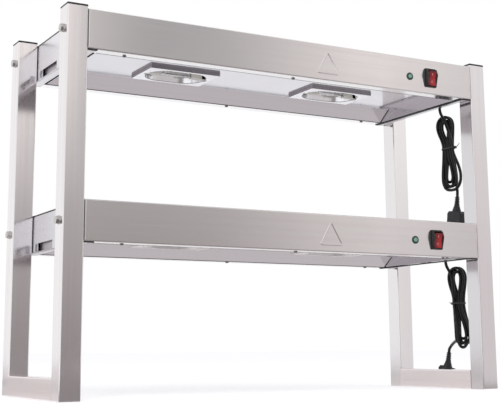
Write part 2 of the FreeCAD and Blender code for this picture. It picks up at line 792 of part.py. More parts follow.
def make_holder_form():
    """A ceramic block that takes one end of a tube, on a strap towards the housing's end."""
    block = new_body("holder_form", "tube_length/2 - holder_recess + tube_slack", "0")
    side = "holder_width/2"
    low = "-tube_rise + lamp_sheet + bowl_sheet + tube_slack"
    corners = box("0", "holder_length", less(side), side)
    pad(block, outline(block, "holder_outline", "XY", corners, low), "holder_height")
    round_edges(block, "holder_corners", "holder_corner", lambda edge: runs_along(edge, 2))
    stop = "lamp_width/2 - lamp_sheet - (tube_length/2 - holder_recess + tube_slack)"
    corners = box("holder_length - strap_lap", stop, "-strap_width/2", "strap_width/2")
    pad(block, outline(block, "holder_strap", "XY", corners, "-tube_rise + lamp_sheet"), "strap_sheet")
    mouth = circles(block, "holder_mouth", "YZ", [("0", "0")], "tube_cap_radius + tube_slack", "-overrun")
    pocket(block, mouth, "overrun + holder_recess")
    return block


def make_holders(label, holder, x, level):
    """The two holders of one tube."""
    half_turn = FreeCAD.Rotation(UP, 180)
    pair = set_shape(label, Part.makeCompound([placed(holder.Shape, 0, 0, 0),
                                               placed(holder.Shape, 0, 0, 0, half_turn)]))
    set_place(pair, x, FRONT + " + lamp_back", level + " + " + LAMP_FLOOR + " + tube_rise")


def make_lamps(name, level, holder):
    """The two lamps of one shelf."""
    for side, x in (("left", "-lamp_spacing/2"), ("right", "lamp_spacing/2")):
        label = "_".join((name, side, "lamp_"))
        make_lamp_housing(label + "housing", x, level)
        make_reflector(label + "reflector", x, level)
        make_lamp_tube(label + "tube", x, level)
        make_holders(label + "holders", holder, x, level)


# Controls on the front aprons


def make_switch_housing(name, level):
    """Snap-in switch body whose bezel has a raised guard on each side of the rocker."""
    label = name + "_switch_housing"
    body = new_body(label, "switch_place", FRONT, level + " + switch_level")
    half, tall, well = "switch_width/2", "switch_height/2", "switch_width/2 - guard_wall"
    pad(body, outline(body, label + "_bezel", "XZ", centred_box(half, tall), "-bezel_depth"), "bezel_depth")
    round_edges(body, label + "_corners", "bezel_corner", lambda edge: runs_along(edge, 1))
    trunk = centred_box(half + " - body_inset", tall + " - body_inset")
    pad(body, outline(body, label + "_trunk", "XZ", trunk), "switch_body")
    low, high = less(tall + " - guard_end"), tall + " - guard_end"
    crest = [("-bezel_depth", low), ("-bezel_depth - guard_foot", low), ("-guard_reach", "guard_crest"),
             ("-bezel_depth - guard_brow", high), ("-bezel_depth", high)]
    for side, start in (("left", less(half + " - guard_rim")), ("right", well)):
        guard = outline(body, "_".join((label, side, "guard")), "YZ", crest, start)
        pad(body, guard, "guard_wall - guard_rim")
    reach, bezel = -size("guard_reach"), -size("bezel_depth")

    def is_guard_edge(edge):
        bounds = edge.BoundBox
        return near(bounds.YMin, reach) and bounds.YMax < bezel and bounds.XLength < size("guard_edge")

    round_edges(body, label + "_guard_edges", "guard_edge", is_guard_edge)
    opening = centred_box(well, "rocker_height/2 + switch_wall")
    hollow = outline(body, label + "_well", "XZ", opening, "-guard_reach - overrun")
    pocket(body, hollow, "guard_reach + overrun + switch_body - switch_wall")
    span = well + " + pivot_reach + cutout_clearance"
    pivot = circles(body, label + "_pivot", "YZ", [("pivot_depth", "0")], "pivot_radius + pivot_clearance",
                    less(span))
    pocket(body, pivot, "2*(" + span + ")")
    for i, place in enumerate(("-spade_pitch", "0", "spade_pitch"), start=1):
        corners = box("-spade_width/2", "spade_width/2", place + " - spade_thickness/2",
                      place + " + spade_thickness/2")
        pad(body, outline(body, "%s_spade_%d" % (label, i), "XZ", corners, "switch_body"), "spade_length")
    keep(body)


def make_rocker(name, level):
    """The rocker, dished in front, tipped at rest so that its top stands out."""
    label = name + "_switch_rocker"
    rocker = new_body(label, "switch_place", FRONT + " + pivot_depth", level + " + switch_level")
    rocker.Placement.Rotation = FreeCAD.Rotation(ACROSS, size("rocker_tilt"))
    side, tall = "switch_width/2 - guard_wall - rocker_clearance", "rocker_height/2"
    face, back = "-(pivot_depth + rocker_thickness)", "pivot_radius + rocker_dish"
    section = [(face, tall), (face + " + rocker_dish", "0"), (face, less(tall)), ("-pivot_depth", less(tall)),
               (back, "-rocker_thickness/2"), (back, "rocker_thickness/2"), ("-pivot_depth", tall)]
    pad(rocker, outline(rocker, label + "_section", "YZ", section, less(side)), "2*(" + side + ")")
    edge_height = size("rocker_height") / 2
    round_edges(rocker, label + "_edges", "rocker_edge",
                lambda edge: runs_along(edge, 0) and near(abs(edge.BoundBox.ZMin), edge_height))
    reach = side + " + rocker_clearance + pivot_reach"
    pins = circles(rocker, label + "_pins", "YZ", [("0", "0")], "pivot_radius", less(reach))
    pad(rocker, pins, "2*(" + reach + ")")
    keep(rocker)


def make_pilot(name, level):
    """Pilot light: a round bezel with its body, and a domed lens in front."""
    bezel = new_body(name + "_pilot_bezel", "pilot_place", FRONT, level + " + pilot_level")
    cup = "lens_radius + lens_clearance"
    half = [(cup, "-pilot_rim"), ("pilot_radius - pilot_rim/2", "-pilot_rim"), ("pilot_radius", "-pilot_rim/2"),
            ("pilot_radius", "0"), ("pilot_neck", "0"), ("pilot_neck", "pilot_body"), ("0", "pilot_body"),
            ("0", "lens_seat"), (cup, "lens_seat")]
    revolve(bezel, outline(bezel, name + "_pilot_half", "XY", half))
    keep(bezel)
    lens = new_body(name + "_pilot_lens", "pilot_place", FRONT, level + " + pilot_level")
    pad(lens, circles(lens, name + "_lens_round", "XZ", [("0", "0")], "lens_radius", "-lens_reach"),
        "lens_reach + lens_seat")
    reach = -size("lens_reach")
    round_edges(lens, name + "_lens_dome", "lens_dome", lambda edge: near(edge.BoundBox.YMax, reach))
    keep(lens)


def make_connector_block(name, level):
    """A three pole connector block under the deck, next to the cord's bush."""
    label = name + "_connector_block"
    block = new_body(label, "block_place", FRONT + " + block_back",
                     level + " + shelf_height - sheet - block_height")
    pad(block, outline(block, label + "_outline", "XY", centred_box("block_length/2", "block_width/2")),
        "block_height")
    places = [(x, "block_height/2") for x in ("-block_length/3", "0", "block_length/3")]
    bores = circles(block, label + "_bores", "XZ", places, "block_bore", "-block_width/2 - overrun")
    pocket(block, bores, "overrun + block_bore_depth")
    keep(block)


# Cord bushes and cords


def make_bush(name, level):
    """Elbow bush in the end plate, with a tapered relief that points down."""
    label = name + "_cord_bush"
    outwards = FreeCAD.Rotation(AHEAD, 90)
    downwards = FreeCAD.Rotation(AHEAD, 180)
    inner_face = PLATE_FACE + " - plate_sheet - bush_nut"
    forms = []
    for suffix, kind, x, turn, lengths in (
            ("nut", "Cylinder", inner_face, outwards, {"Radius": "bush_flange_radius", "Height": "bush_nut"}),
            ("neck", "Cylinder", inner_face, outwards,
             {"Radius": "bush_radius", "Height": "bush_nut + plate_sheet + bush_flange"}),
            ("flange", "Cylinder", PLATE_FACE, outwards,
             {"Radius": "bush_flange_radius", "Height": "bush_flange"}),
            ("arm", "Cylinder", PLATE_FACE, outwards, {"Radius": "relief_root", "Height": "bush_reach"}),
            ("knuckle", "Sphere", PLATE_FACE + " + bush_reach", outwards, {"Radius": "relief_root"}),
            ("relief", "Cone", PLATE_FACE + " + bush_reach", downwards,
             {"Radius1": "relief_root", "Radius2": "relief_tip", "Height": "relief_length"})):
        form = doc.addObject("Part::" + kind, "_".join((label, suffix)))
        for prop, text in lengths.items():
            form.setExpression(prop, bound(text))
        form.Placement.Rotation = turn
        set_place(form, x, FRONT + " + bush_back", level + " + bush_height")
        forms.append(form)
    bush = doc.addObject("Part::MultiFuse", label)
    bush.Shapes = forms
    keep(bush)


def cord_point(name, x, y, z):
    """A cord's point, from the leg's inner face, the legs' front faces and the shelf's foot."""
    return FreeCAD.Vector(size("inner_width") / 2 + x, front_place() + y, size(name + "_level") + z)


def bush_tip():
    """The centre of the relief's end, as a cord's point is given."""
    return (size("bush_reach") - size("sheet"), size("bush_back"), size("bush_height") - size("relief_length"))


def arc_towards(start, heading, end):
    """An arc that leaves start along a heading and reaches end."""
    chord = end.sub(start)
    lean = heading.getAngle(chord)
    if lean < 1e-4:
        return Part.LineSegment(start, end).toShape()
    along = FreeCAD.Vector(chord).normalize()
    aside = heading.sub(along * heading.dot(along)).normalize()
    middle = (start + end) * 0.5 + aside * (chord.Length / 2 * math.tan(lean / 2))
    return Part.Arc(start, middle, end).toShape()


def stretch_path(points):
    """Straight runs joined by tangent arcs, with the arcs' radii."""
    edges, radii, last = [], [], points[0]
    for before, corner, after in zip(points, points[1:], points[2:]):
        back, ahead = before - corner, after - corner
        half_turn = (math.pi - back.getAngle(ahead)) / 2
        trim = 0.45 * min(back.Length, ahead.Length)
        radii.append(trim / math.tan(half_turn))
        heading = FreeCAD.Vector(back).normalize() * -1
        start = corner - heading * trim
        end = corner + ahead.normalize() * trim
        edges.append(Part.LineSegment(last, start).toShape())
        edges.append(arc_towards(start, heading, end))
        last = end
    edges.append(Part.LineSegment(last, points[-1]).toShape())
    return Part.Wire(edges), radii


def sweep(label, path, start, heading):
    """A round tube along a path, whose volume is held against its section."""
    radius = size("cord_radius")
    ring = Part.Wire([Part.Circle(start, heading, radius).toShape()])
    tube = path.makePipeShell([ring], True, False)
    share = tube.Volume / (math.pi * radius ** 2 * path.Length)
    print("%s: length %.1f, volume over section times length %.4f" % (label, path.Length, share))
    return set_shape(label, tube)


def make_stretch(label, points):
    """One free stretch of cord."""
    path, radii = stretch_path(points)
    print("%s: arc radii %s" % (label, " ".join("%.0f" % radius for radius in radii)))
    sweep(label, path, points[0], points[1] - points[0])
    return path


def hank_points(name, side):
    """The places of each strand from its foot to its top, in the order of the cord."""
    pitch = 2 * size("cord_radius") + size("strand_gap")
    ankle = size("hank_foot") - size("hank_end_lift")
    drops = [ankle, size("hank_waist"), size(name + "_hank_top")]
    backs = [size(name + "_foot_back"), size(name + "_waist_back"), size(name + "_top_back")]
    rows = (pitch / 2 + size("foot_spread"), pitch / 2, pitch / 2)
    outer = (size("foot_loop"), 1.5 * pitch, size(name + "_top_loop"))
    inner = (size("foot_loop") - pitch, 0.5 * pitch, size(name + "_inner_loop"))

    def strand(half, hand, row, foot=ankle):
        """Foot, ankle, waist and top of one strand, which hangs straight below its ankle."""
        places = [(rows[0], backs[0], half[0], foot)] if foot > ankle else []
        places += list(zip(rows, backs, half, drops))
        return [cord_point(name, size("hank_out") + row * out, back - side * hand * across, -drop)
                for out, back, across, drop in places]

    foot, fold = size("hank_foot"), size("hank_foot") - size("hank_fold_lift")
    return [strand(outer, -1, -1), strand(outer, 1, -1, foot), strand(inner, -1, -1, foot),
            strand(inner, 1, -1, fold), strand(inner, -1, 1, fold), strand(inner, 1, 1, foot),
            strand(outer, -1, 1, foot), strand(outer, 1, 1)]


def bend_to(start, heading, end):
    """A shallow double bend that leaves and arrives along one heading."""
    halfway = (start + end) * 0.5
    first = arc_towards(start, heading, halfway)
    second = arc_towards(end, heading * -1, halfway)
    middle = second.valueAt((second.FirstParameter + second.LastParameter) / 2)
    if isinstance(first.Curve, Part.Line):
        return [Part.LineSegment(start, end).toShape()]
    return [first, Part.Arc(halfway, middle, end).toShape()]


def hank_path(strands):
    """One unbroken centre line: up and down the strands, with a half turn at each fold."""
    stub = 2 * size("cord_radius")
    start = strands[0][0] - UP * stub
    edges = [Part.LineSegment(start, strands[0][0]).toShape()]
    last = None
    for index, places in enumerate(strands):
        heading = UP * (-1 if index % 2 else 1)
        ordered = places[::-1] if index % 2 else places
        if last:
            middle = (last + ordered[0]) * 0.5 - heading * (last.distanceToPoint(ordered[0]) / 2)
            edges.append(Part.Arc(last, middle, ordered[0]).toShape())
        for before, after in zip(ordered, ordered[1:]):
            edges += bend_to(before, heading, after)
        last = ordered[-1]
    end = last - UP * stub
    edges.append(Part.LineSegment(last, end).toShape())
    return Part.Wire(edges), start, end


def samples(path):
    """How far along a path each of its points lies, half a radius of the cord apart."""
    step = size("cord_radius") / 2
    points = path.discretize(Number=max(2, int(path.Length / step)))
    gap = path.Length / (len(points) - 1)
    return [(i * gap, point) for i, point in enumerate(points)]


def least_gap(path, other=None):
    """Least gap of a cord to itself, or to another stretch away from the end they share."""
    reach = 8 * size("cord_radius")
    mine = samples(path)
    yours = samples(other) if other else mine
    ends = [(first, second) for first in (mine[0][1], mine[-1][1]) for second in (yours[0][1], yours[-1][1])]
    shared = [first for first, second in ends if other and first.distanceToPoint(second) < 1e-3]
    least = math.inf
    for along, point in mine:
        if any(point.distanceToPoint(joint) < reach for joint in shared):
            continue
        for further, second in yours:
            if other or further - along > reach:
                least = min(least, point.distanceToPoint(second))
    return least - 2 * size("cord_radius")


def ring_wire(corners, radius):
    """A closed wire round circles of one radius, whose centres run counter-clockwise."""
    edges = []
    count = len(corners)
    headings = [(corners[(i + 1) % count] - corners[i]).normalize() for i in range(count)]
    normals = [FreeCAD.Vector(heading.y, -heading.x, 0) for heading in headings]
    for i, corner in enumerate(corners):
        following, normal, turned = corners[(i + 1) % count], normals[i], normals[(i + 1) % count]
        middle = (normal + turned).normalize()
        edges.append(Part.LineSegment(corner + normal * radius, following + normal * radius).toShape())
        edges.append(Part.Arc(following + normal * radius, following + middle * radius,
                              following + turned * radius).toShape())
    return Part.Wire(edges)


def make_tie(name, strands, lead):
    """A flat band drawn tight round the strands' waists and the lead beside them."""
    bottom = lead.z - size("tie_height") / 2
    waists = [places[-2] for places in strands]
    low_x, high_x = min(point.x for point in waists), max(point.x for point in waists)
    low_y, high_y = min(point.y for point in waists), max(point.y for point in waists)
    corners = [FreeCAD.Vector(x, y, bottom) for x, y in ((low_x, low_y), (high_x, low_y), (high_x, high_y),
                                                         (low_x, high_y))]
    beside = FreeCAD.Vector(lead.x, lead.y, bottom)
    if lead.x < low_x - size("cord_radius"):
        corners.append(beside)
    else:
        corners[0] = beside
    inside = size("cord_radius") + size("tie_slack")
    walls = [ring_wire(corners, radius) for radius in (inside + size("tie_wall"), inside)]
    outer, inner = [Part.Face(wall).extrude(UP * size("tie_height")) for wall in walls]
    set_shape(name + "_cord_tie", outer.cut(inner))


# Plugs


def make_plug_form():
    """A moulded plug that hangs from its relief, with its pins towards -Y."""
    plug = new_body("plug_form", "0", "0")
    half, top = "plug_width/2", "-(plug_relief + plug_shoulder)"
    foot = top + " - plug_body"
    right = [(half + " - plug_corner", top), (half, top + " - plug_corner"), (half, foot + " + plug_foot_corner"),
             (half + " - plug_foot_corner", foot)]
    left = [(less(x), z) for x, z in reversed(right)]
    pad(plug, outline(plug, "plug_outline", "XZ", right + left, "-plug_thickness/2"), "plug_thickness")
    face = size("plug_thickness") / 2
    round_edges(plug, "plug_edges", "plug_edge",
                lambda edge: near(abs(edge.BoundBox.YMin), face) and edge.BoundBox.YLength < face)
    wide = stadium(plug, "plug_throat_wide", "plug_throat", "plug_throat_depth", top)
    narrow = stadium(plug, "plug_throat_narrow", "2*plug_relief_root + plug_groove", "2*plug_relief_root",
                     "-plug_relief")
    loft(plug, "AdditiveLoft", [wide, narrow])
    groove_count = 4
    profile = [("0", "0"), ("plug_relief_tip", "0")]
    for groove in range(groove_count):
        for step, cut in ((1, False), (1, True), (2, True), (2, False)):
            share = "%d/%d" % (2 * groove + step, 2 * groove_count + 1)
            radius = "plug_relief_tip + (plug_relief_root - plug_relief_tip)*" + share
            profile.append((radius + (" - plug_groove" if cut else ""), "-plug_relief*" + share))
    profile += [("plug_relief_root", "-plug_relief"), ("0", "-plug_relief")]
    revolve(plug, outline(plug, "plug_relief_half", "XZ", profile))
    return plug


def make_pin_forms():
    """Two live pins and the longer earth pin, towards -Y."""
    face = -size("plug_thickness") / 2
    live = -(size("plug_relief") + size("plug_shoulder") + size("pin_inset"))
    pitch, thick = size("pin_pitch"), size("pin_thickness")

    def pin(x, z, wide, tall, length):
        return Part.makeBox(wide, length, tall, FreeCAD.Vector(x - wide / 2, face - length, z - tall / 2))

    live_size = (size("live_pin_width"), thick, size("live_pin_length"))
    return [pin(-pitch / 2, live, *live_size), pin(pitch / 2, live, *live_size),
            pin(0, live - pitch, thick, size("earth_pin_width"), size("earth_pin_length"))]


def make_plug(name, plug, pins, top):
    """One cord's plug, hung by the centre of its relief's top, with its pins towards +X."""
    lean = FreeCAD.Rotation(ACROSS, size(name + "_plug_lean"))
    turn = lean.multiply(FreeCAD.Rotation(UP, 90))
    set_shape(name + "_plug_body", placed(plug.Shape, top.x, top.y, top.z, turn))
    set_shape(name + "_plug_pins", Part.makeCompound([placed(pin, top.x, top.y, top.z, turn) for pin in pins]))


# Cord routes, chosen by hand, each point as cord_point takes it
UPPER_LEAD = [(9.0, 119.0, -5.0), (9.0, 107.0, -22.0), (9.0, 96.0, -43.0), (9.2, 88.4, -63.0),
              (15.9, 88.3, -82.0), (16.0, 88.0, -99.0), (15.5, 78.5, -117.0), (14.2, 66.5, -136.0),
              (13.4, 59.5, -156.0), (13.3, 62.0, -175.0), (13.3, 76.0, -187.5), (13.8, 96.0, -188.0),
              (15.0, 114.0, -184.0)]
UPPER_TAIL = [(22.8, 86.5, -179.0)]
UPPER_PLUG = (21.0, 84.0, -204.0)
LOWER_LEAD = [(9.0, 119.0, -5.0), (9.0, 108.0, -19.0), (8.9, 97.5, -34.0), (8.9, 96.2, -52.0),
              (9.0, 97.0, -69.0), (9.0, 95.9, -84.0), (9.0, 95.4, -101.0), (8.8, 91.0, -120.0),
              (8.5, 87.8, -138.0), (8.5, 86.5, -155.0), (8.5, 85.4, -168.0), (8.9, 84.0, -179.0),
              (10.2, 77.5, -186.5), (12.6, 69.0, -186.0), (14.6, 63.8, -177.5)]
LOWER_TAIL = [(27.5, 105.0, -181.0), (37.0, 130.0, -185.5), (46.5, 156.0, -183.5)]
LOWER_PLUG = (50.0, 168.5, -198.0)


def make_cord(name, side, lead, tail, plug_top, plug, pins):
    """One cord from its bush to its plug."""
    strands = hank_points(name, side)
    hank, start, end = hank_path(strands)
    run = 1.5 * 2 * size("cord_radius")
    lean = FreeCAD.Rotation(ACROSS, size(name + "_plug_lean"))
    top = cord_point(name, *plug_top)
    lead_points = [cord_point(name, *place) for place in [bush_tip()] + lead] + [start - UP * run, start]
    tail_points = [end, end - UP * run] + [cord_point(name, *place) for place in tail]
    tail_points += [top + lean.multVec(UP) * run, top]
    lead_path = make_stretch(name + "_cord_lead", lead_points)
    sweep(name + "_cord_hank", hank, start, UP)
    tail_path = make_stretch(name + "_cord_tail", tail_points)
    print("%s cord: whole length %.0f" % (name, lead_path.Length + hank.Length + tail_path.Length))
    for kind, gap in (("hank to itself", least_gap(hank)), ("lead to hank", least_gap(lead_path, hank)),
                      ("tail to hank", least_gap(tail_path, hank)), ("lead to tail", least_gap(lead_path, tail_path))):
        print("%s cord: least gap %s %.2f" % (name, kind, gap))
    waist = size(name + "_level") - size("hank_waist")
    beside = min((point for _, point in samples(lead_path)), key=lambda point: abs(point.z - waist))
    make_tie(name, strands, FreeCAD.Vector(beside.x, beside.y, waist))
    make_plug(name, plug, pins, top)


def make_cords():
    """Both cords with their hanks, ties and plugs."""
    plug, pins = make_plug_form(), make_pin_forms()
    doc.recompute()
    make_cord("upper", 1, UPPER_LEAD, UPPER_TAIL, UPPER_PLUG, plug, pins)
    make_cord("lower", -1, LOWER_LEAD, LOWER_TAIL, LOWER_PLUG, plug, pins)


def make_shelf(name, screw, holder):
    """Everything on one shelf but its cord."""
    level = name + "_level"
    make_shell(name, level)
    make_end_plates(name, level)
    make_tray(name, level)
    make_tray_screws(name, screw)
    make_lamps(name, level, holder)
    make_switch_housing(name, level)
    make_rocker(name, level)
    make_pilot(name, level)
    make_connector_block(name, level)
    make_bush(name, level)


def check_model():
    """Stop where an object has failed or a piece isn't whole."""
    for item in doc.Objects:
        if "Invalid" in item.State or "Error" in item.State:
            raise ValueError(item.Label + " is " + ", ".join(item.State))
    for piece in pieces:
        if piece.Shape.isNull() or not piece.Shape.isValid():
            raise ValueError(piece.Label + " has no valid shape")


make_side_frames()
make_frame_fittings()
screw_form, holder_form = make_screw_form(), make_holder_form()
doc.recompute()
for shelf in SHELVES:
    make_shelf(shelf, screw_form, holder_form)
make_cords()
doc.recompute()
check_model()
for piece in pieces:
    piece.Shape.exportStep("parts/" + piece.Label + ".step")
print("%d pieces written" % len(pieces))
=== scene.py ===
import math

import bmesh
import bpy
from mathutils import Matrix, Vector
from mathutils.bvhtree import BVHTree


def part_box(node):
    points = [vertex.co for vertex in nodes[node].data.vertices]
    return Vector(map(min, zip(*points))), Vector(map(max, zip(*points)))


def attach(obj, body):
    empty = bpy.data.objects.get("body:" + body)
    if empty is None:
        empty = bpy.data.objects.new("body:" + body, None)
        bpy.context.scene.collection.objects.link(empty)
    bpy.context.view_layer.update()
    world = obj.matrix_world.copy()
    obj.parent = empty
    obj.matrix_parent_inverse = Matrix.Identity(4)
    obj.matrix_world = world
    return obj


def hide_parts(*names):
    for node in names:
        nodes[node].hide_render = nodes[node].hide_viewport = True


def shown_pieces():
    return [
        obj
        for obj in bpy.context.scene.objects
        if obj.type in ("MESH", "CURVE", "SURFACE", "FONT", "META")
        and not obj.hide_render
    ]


# Looks of the heated gantry: camera, cords, small pieces, materials and the studio.
# Lengths are in metres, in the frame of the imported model, and in millimetres where a comment says so.

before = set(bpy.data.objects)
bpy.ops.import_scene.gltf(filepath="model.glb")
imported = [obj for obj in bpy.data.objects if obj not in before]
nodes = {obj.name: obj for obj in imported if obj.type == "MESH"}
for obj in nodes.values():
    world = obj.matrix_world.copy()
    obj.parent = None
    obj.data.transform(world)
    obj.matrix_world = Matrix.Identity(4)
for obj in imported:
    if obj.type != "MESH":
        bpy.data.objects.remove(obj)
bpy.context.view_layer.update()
SHELVES = ("upper", "lower")
SIDES = (("left", -1), ("right", 1))
LEVEL = {"upper": 0.622, "lower": 0.274}  # the foot of each shelf
INNER = 0.445  # the inner faces of the right legs
FRONT = -0.157  # the front faces of the legs and aprons
MIDDLE = 0.0055  # halfway from front to back


# Camera

YAW, PITCH, ROLL = 29.361, 10.2198, -0.4101  # degrees
CAMERA_PLACE = (-1.12417, -1.9563, 0.08677)
IMAGE_WIDTH = 500  # pixels
FOCAL_LENGTH = 1092.64  # pixels
FRAME_DROP = 49.81  # pixels
SENSOR_WIDTH = 36  # millimetres


def make_camera():
    """The photograph's viewpoint: low, in front of the left side, looking a little up."""
    yaw, pitch, roll = math.radians(YAW), math.radians(PITCH), math.radians(ROLL)
    forward = Vector((math.sin(yaw) * math.cos(pitch), math.cos(yaw) * math.cos(pitch), math.sin(pitch)))
    level_right = Vector((math.cos(yaw), -math.sin(yaw), 0))
    level_up = level_right.cross(forward)
    right = level_right * math.cos(roll) + level_up * math.sin(roll)
    up = level_up * math.cos(roll) - level_right * math.sin(roll)
    data = bpy.data.cameras.new("camera")
    data.sensor_width = SENSOR_WIDTH
    data.sensor_fit = "HORIZONTAL"
    data.lens = FOCAL_LENGTH / IMAGE_WIDTH * SENSOR_WIDTH
    data.shift_y = -FRAME_DROP / IMAGE_WIDTH
    data.clip_start = 0.05
    data.clip_end = 100
    camera = bpy.data.objects.new("camera", data)
    turn = Matrix((right, up, -forward)).transposed().to_4x4()
    camera.matrix_world = Matrix.Translation(CAMERA_PLACE) @ turn
    bpy.context.scene.collection.objects.link(camera)
    bpy.context.scene.camera = camera


make_camera()


# Helpers for pieces

def add_piece(name, data, body="stand"):
    """Link a mesh or curve as a piece of the object that rides on a body."""
    piece = bpy.data.objects.new(name, data)
    bpy.context.scene.collection.objects.link(piece)
    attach(piece, body)
    return piece


def new_curve(name, resolution, bevel_resolution):
    """An empty round curve, as thick as the radii of its points."""
    data = bpy.data.curves.new(name, "CURVE")
    data.dimensions = "3D"
    data.resolution_u = resolution
    data.bevel_depth = 1.0
    data.bevel_resolution = bevel_resolution
    return data


def add_spline(data, points, radius):
    """One open smooth spline through the middle of its control points."""
    spline = data.splines.new("NURBS")
    spline.points.add(len(points) - 1)
    for target, point in zip(spline.points, points):
        target.co = (*point, 1)
        target.radius = radius
    spline.order_u = 3
    spline.use_endpoint_u = True


def shade_smooth(mesh, smooth=True):
    """Shade a mesh's faces smooth or flat."""
    for face in mesh.polygons:
        face.use_smooth = smooth
    return mesh


def from_faces(name, corners, faces, smooth=True):
    """A mesh from its corners and faces, with normals outwards."""
    mesh = bpy.data.meshes.new(name)
    mesh.from_pydata([tuple(corner) for corner in corners], [], faces)
    shape = bmesh.new()
    shape.from_mesh(mesh)
    bmesh.ops.recalc_face_normals(shape, faces=shape.faces)
    shape.to_mesh(mesh)
    shape.free()
    return shade_smooth(mesh, smooth)


def add_block(name, size, edge, place):
    """A block with rounded edges, as a piece of the stand."""
    shape = bmesh.new()
    bmesh.ops.create_cube(shape, size=1)
    bmesh.ops.scale(shape, vec=size, verts=shape.verts)
    bmesh.ops.bevel(shape, geom=shape.edges[:], offset=edge, segments=3, profile=0.6, affect="EDGES")
    bmesh.ops.transform(shape, matrix=Matrix.Translation(place), verts=shape.verts)
    mesh = bpy.data.meshes.new(name)
    shape.to_mesh(mesh)
    shape.free()
    add_piece(name, shade_smooth(mesh))


def round_corners(corners, radius, steps=6):
    """A closed flat outline with its corners rounded, as 2D points."""
    points = []
    count = len(corners)
    for index, corner in enumerate(corners):
        corner = Vector(corner)
        back = (Vector(corners[index - 1]) - corner).normalized()
        ahead = (Vector(corners[(index + 1) % count]) - corner).normalized()
        half = back.angle(ahead) / 2
        trim = radius / math.tan(half)
        centre = corner + (back + ahead).normalized() * (radius / math.sin(half))
        first, last = corner + back * trim - centre, corner + ahead * trim - centre
        sweep = first.angle_signed(last)
        for step in range(steps + 1):
            turn = Matrix.Rotation(-sweep * step / steps, 2)
            points.append(centre + turn @ first)
    return points


def ridge(name, outline, half_width, height, lay_down):
    """A closed rounded ridge along an outline; lay_down places (x, z, rise) on the sheet."""
    rows = 9
    count = len(outline)
    corners, faces = [], []
    for index, point in enumerate(outline):
        along = (outline[(index + 1) % count] - outline[index - 1]).normalized()
        aside = Vector((along.y, -along.x))
        for row in range(rows):
            share = 2 * row / (rows - 1) - 1
            place = point + aside * (share * half_width)
            corners.append(lay_down(place.x, place.y, height * math.cos(share * math.pi / 2) ** 1.2))
    for index in range(count):
        following = (index + 1) % count
        for row in range(rows - 1):
            faces.append((index * rows + row, index * rows + row + 1,
                          following * rows + row + 1, following * rows + row))
    return from_faces(name, corners, faces)


def surface_of(node_name):
    """A search tree over a CAD node's faces."""
    mesh = nodes[node_name].data
    return BVHTree.FromPolygons([vertex.co.copy() for vertex in mesh.vertices],
                                [tuple(face.vertices) for face in mesh.polygons])


# Cords. Their places are in millimetres, as cord_place takes them.

CORD_RADIUS = 0.0033
EXIT = (9.0, 119.0, 6.0)
LEADS = {
    "upper": [(9.0, 119.0, -5.0), (9.0, 107.0, -22.0), (9.0, 96.0, -43.0), (9.2, 88.4, -63.0),
              (15.9, 88.3, -82.0), (16.0, 88.0, -99.0), (15.5, 78.5, -117.0), (14.2, 66.5, -136.0),
              (13.4, 59.5, -156.0), (13.3, 62.0, -175.0), (13.3, 76.0, -187.5), (13.8, 96.0, -188.0),
              (12.5, 112.0, -184.0)],
    "lower": [(9.0, 119.0, -5.0), (9.0, 108.0, -19.0), (8.9, 97.5, -34.0), (8.9, 96.2, -52.0),
              (9.0, 97.0, -69.0), (9.0, 95.9, -84.0), (9.0, 95.4, -101.0), (8.8, 91.0, -120.0),
              (8.5, 87.8, -138.0), (8.5, 86.5, -155.0), (8.5, 85.4, -168.0), (8.9, 84.0, -179.0),
              (10.2, 77.5, -186.5), (12.6, 69.0, -186.0), (14.6, 63.8, -177.5)],
}
TAILS = {
    "upper": [(25.5, 89.0, -180.0), (21.0, 82.6, -194.2), (21.0, 84.0, -204.0)],
    "lower": [(22.5, 105.0, -169.0), (31.5, 121.0, -172.5), (41.0, 142.0, -177.5),
              (48.6, 160.5, -184.5), (50.0, 168.5, -191.5), (50.0, 168.5, -198.0)],
}

# Hanks: the y of a hank's middle at its foot, waist and top, the half widths of its outer and inner loops at the
# top, the height of the top, how much higher its last strand ends, and on which side its loops start
HANKS = {
    "upper": {"backs": (105.5, 107.5, 115.0), "outer": 19.0, "inner": 11.2, "top": -35.5, "lift": 0.0, "side": 1},
    "lower": {"backs": (82.0, 92.0, 95.0), "outer": 19.5, "inner": 12.0, "top": -33.0, "lift": 10.0, "side": -1},
}
HANK_OUT = 20.0
OUTER_LOOPS, INNER_LOOPS = (14.6, 11.4), (7.4, 3.8)  # half widths at the foot and the waist
FOOT_ROW, UPPER_ROW = 4.35, 3.8  # how far each row of strands stands from the hank's middle
FOOT, FOLD, ENDS = -167.0, -159.0, -159.6
ANKLE, ANKLE_RISE = -150.0, 9.6
WAIST_FOOT, WAIST_TOP = -104.0, -78.0
SHOULDER = 12.0
FOOT_TURN, TOP_TURN = math.radians(40.0), math.radians(14.0)
END_RUN = Vector((0, 0, 3 * CORD_RADIUS))


def cord_place(name, x, y, z):
    """A cord's point in the frame, from the leg's inner face, the legs' front faces and the shelf's foot."""
    return Vector((INNER + x / 1000, FRONT + y / 1000, LEVEL[name] + z / 1000))


def turn_points(start, end, up):
    """The control points of a half turn between two upright strands."""
    middle = (start + end) / 2
    out = start - middle
    rise = Vector((0, 0, out.length * up))
    flat = math.tan(math.radians(22.5))
    return [middle + out + rise * flat, middle + out * flat + rise,
            middle - out * flat + rise, middle - out + rise * flat]


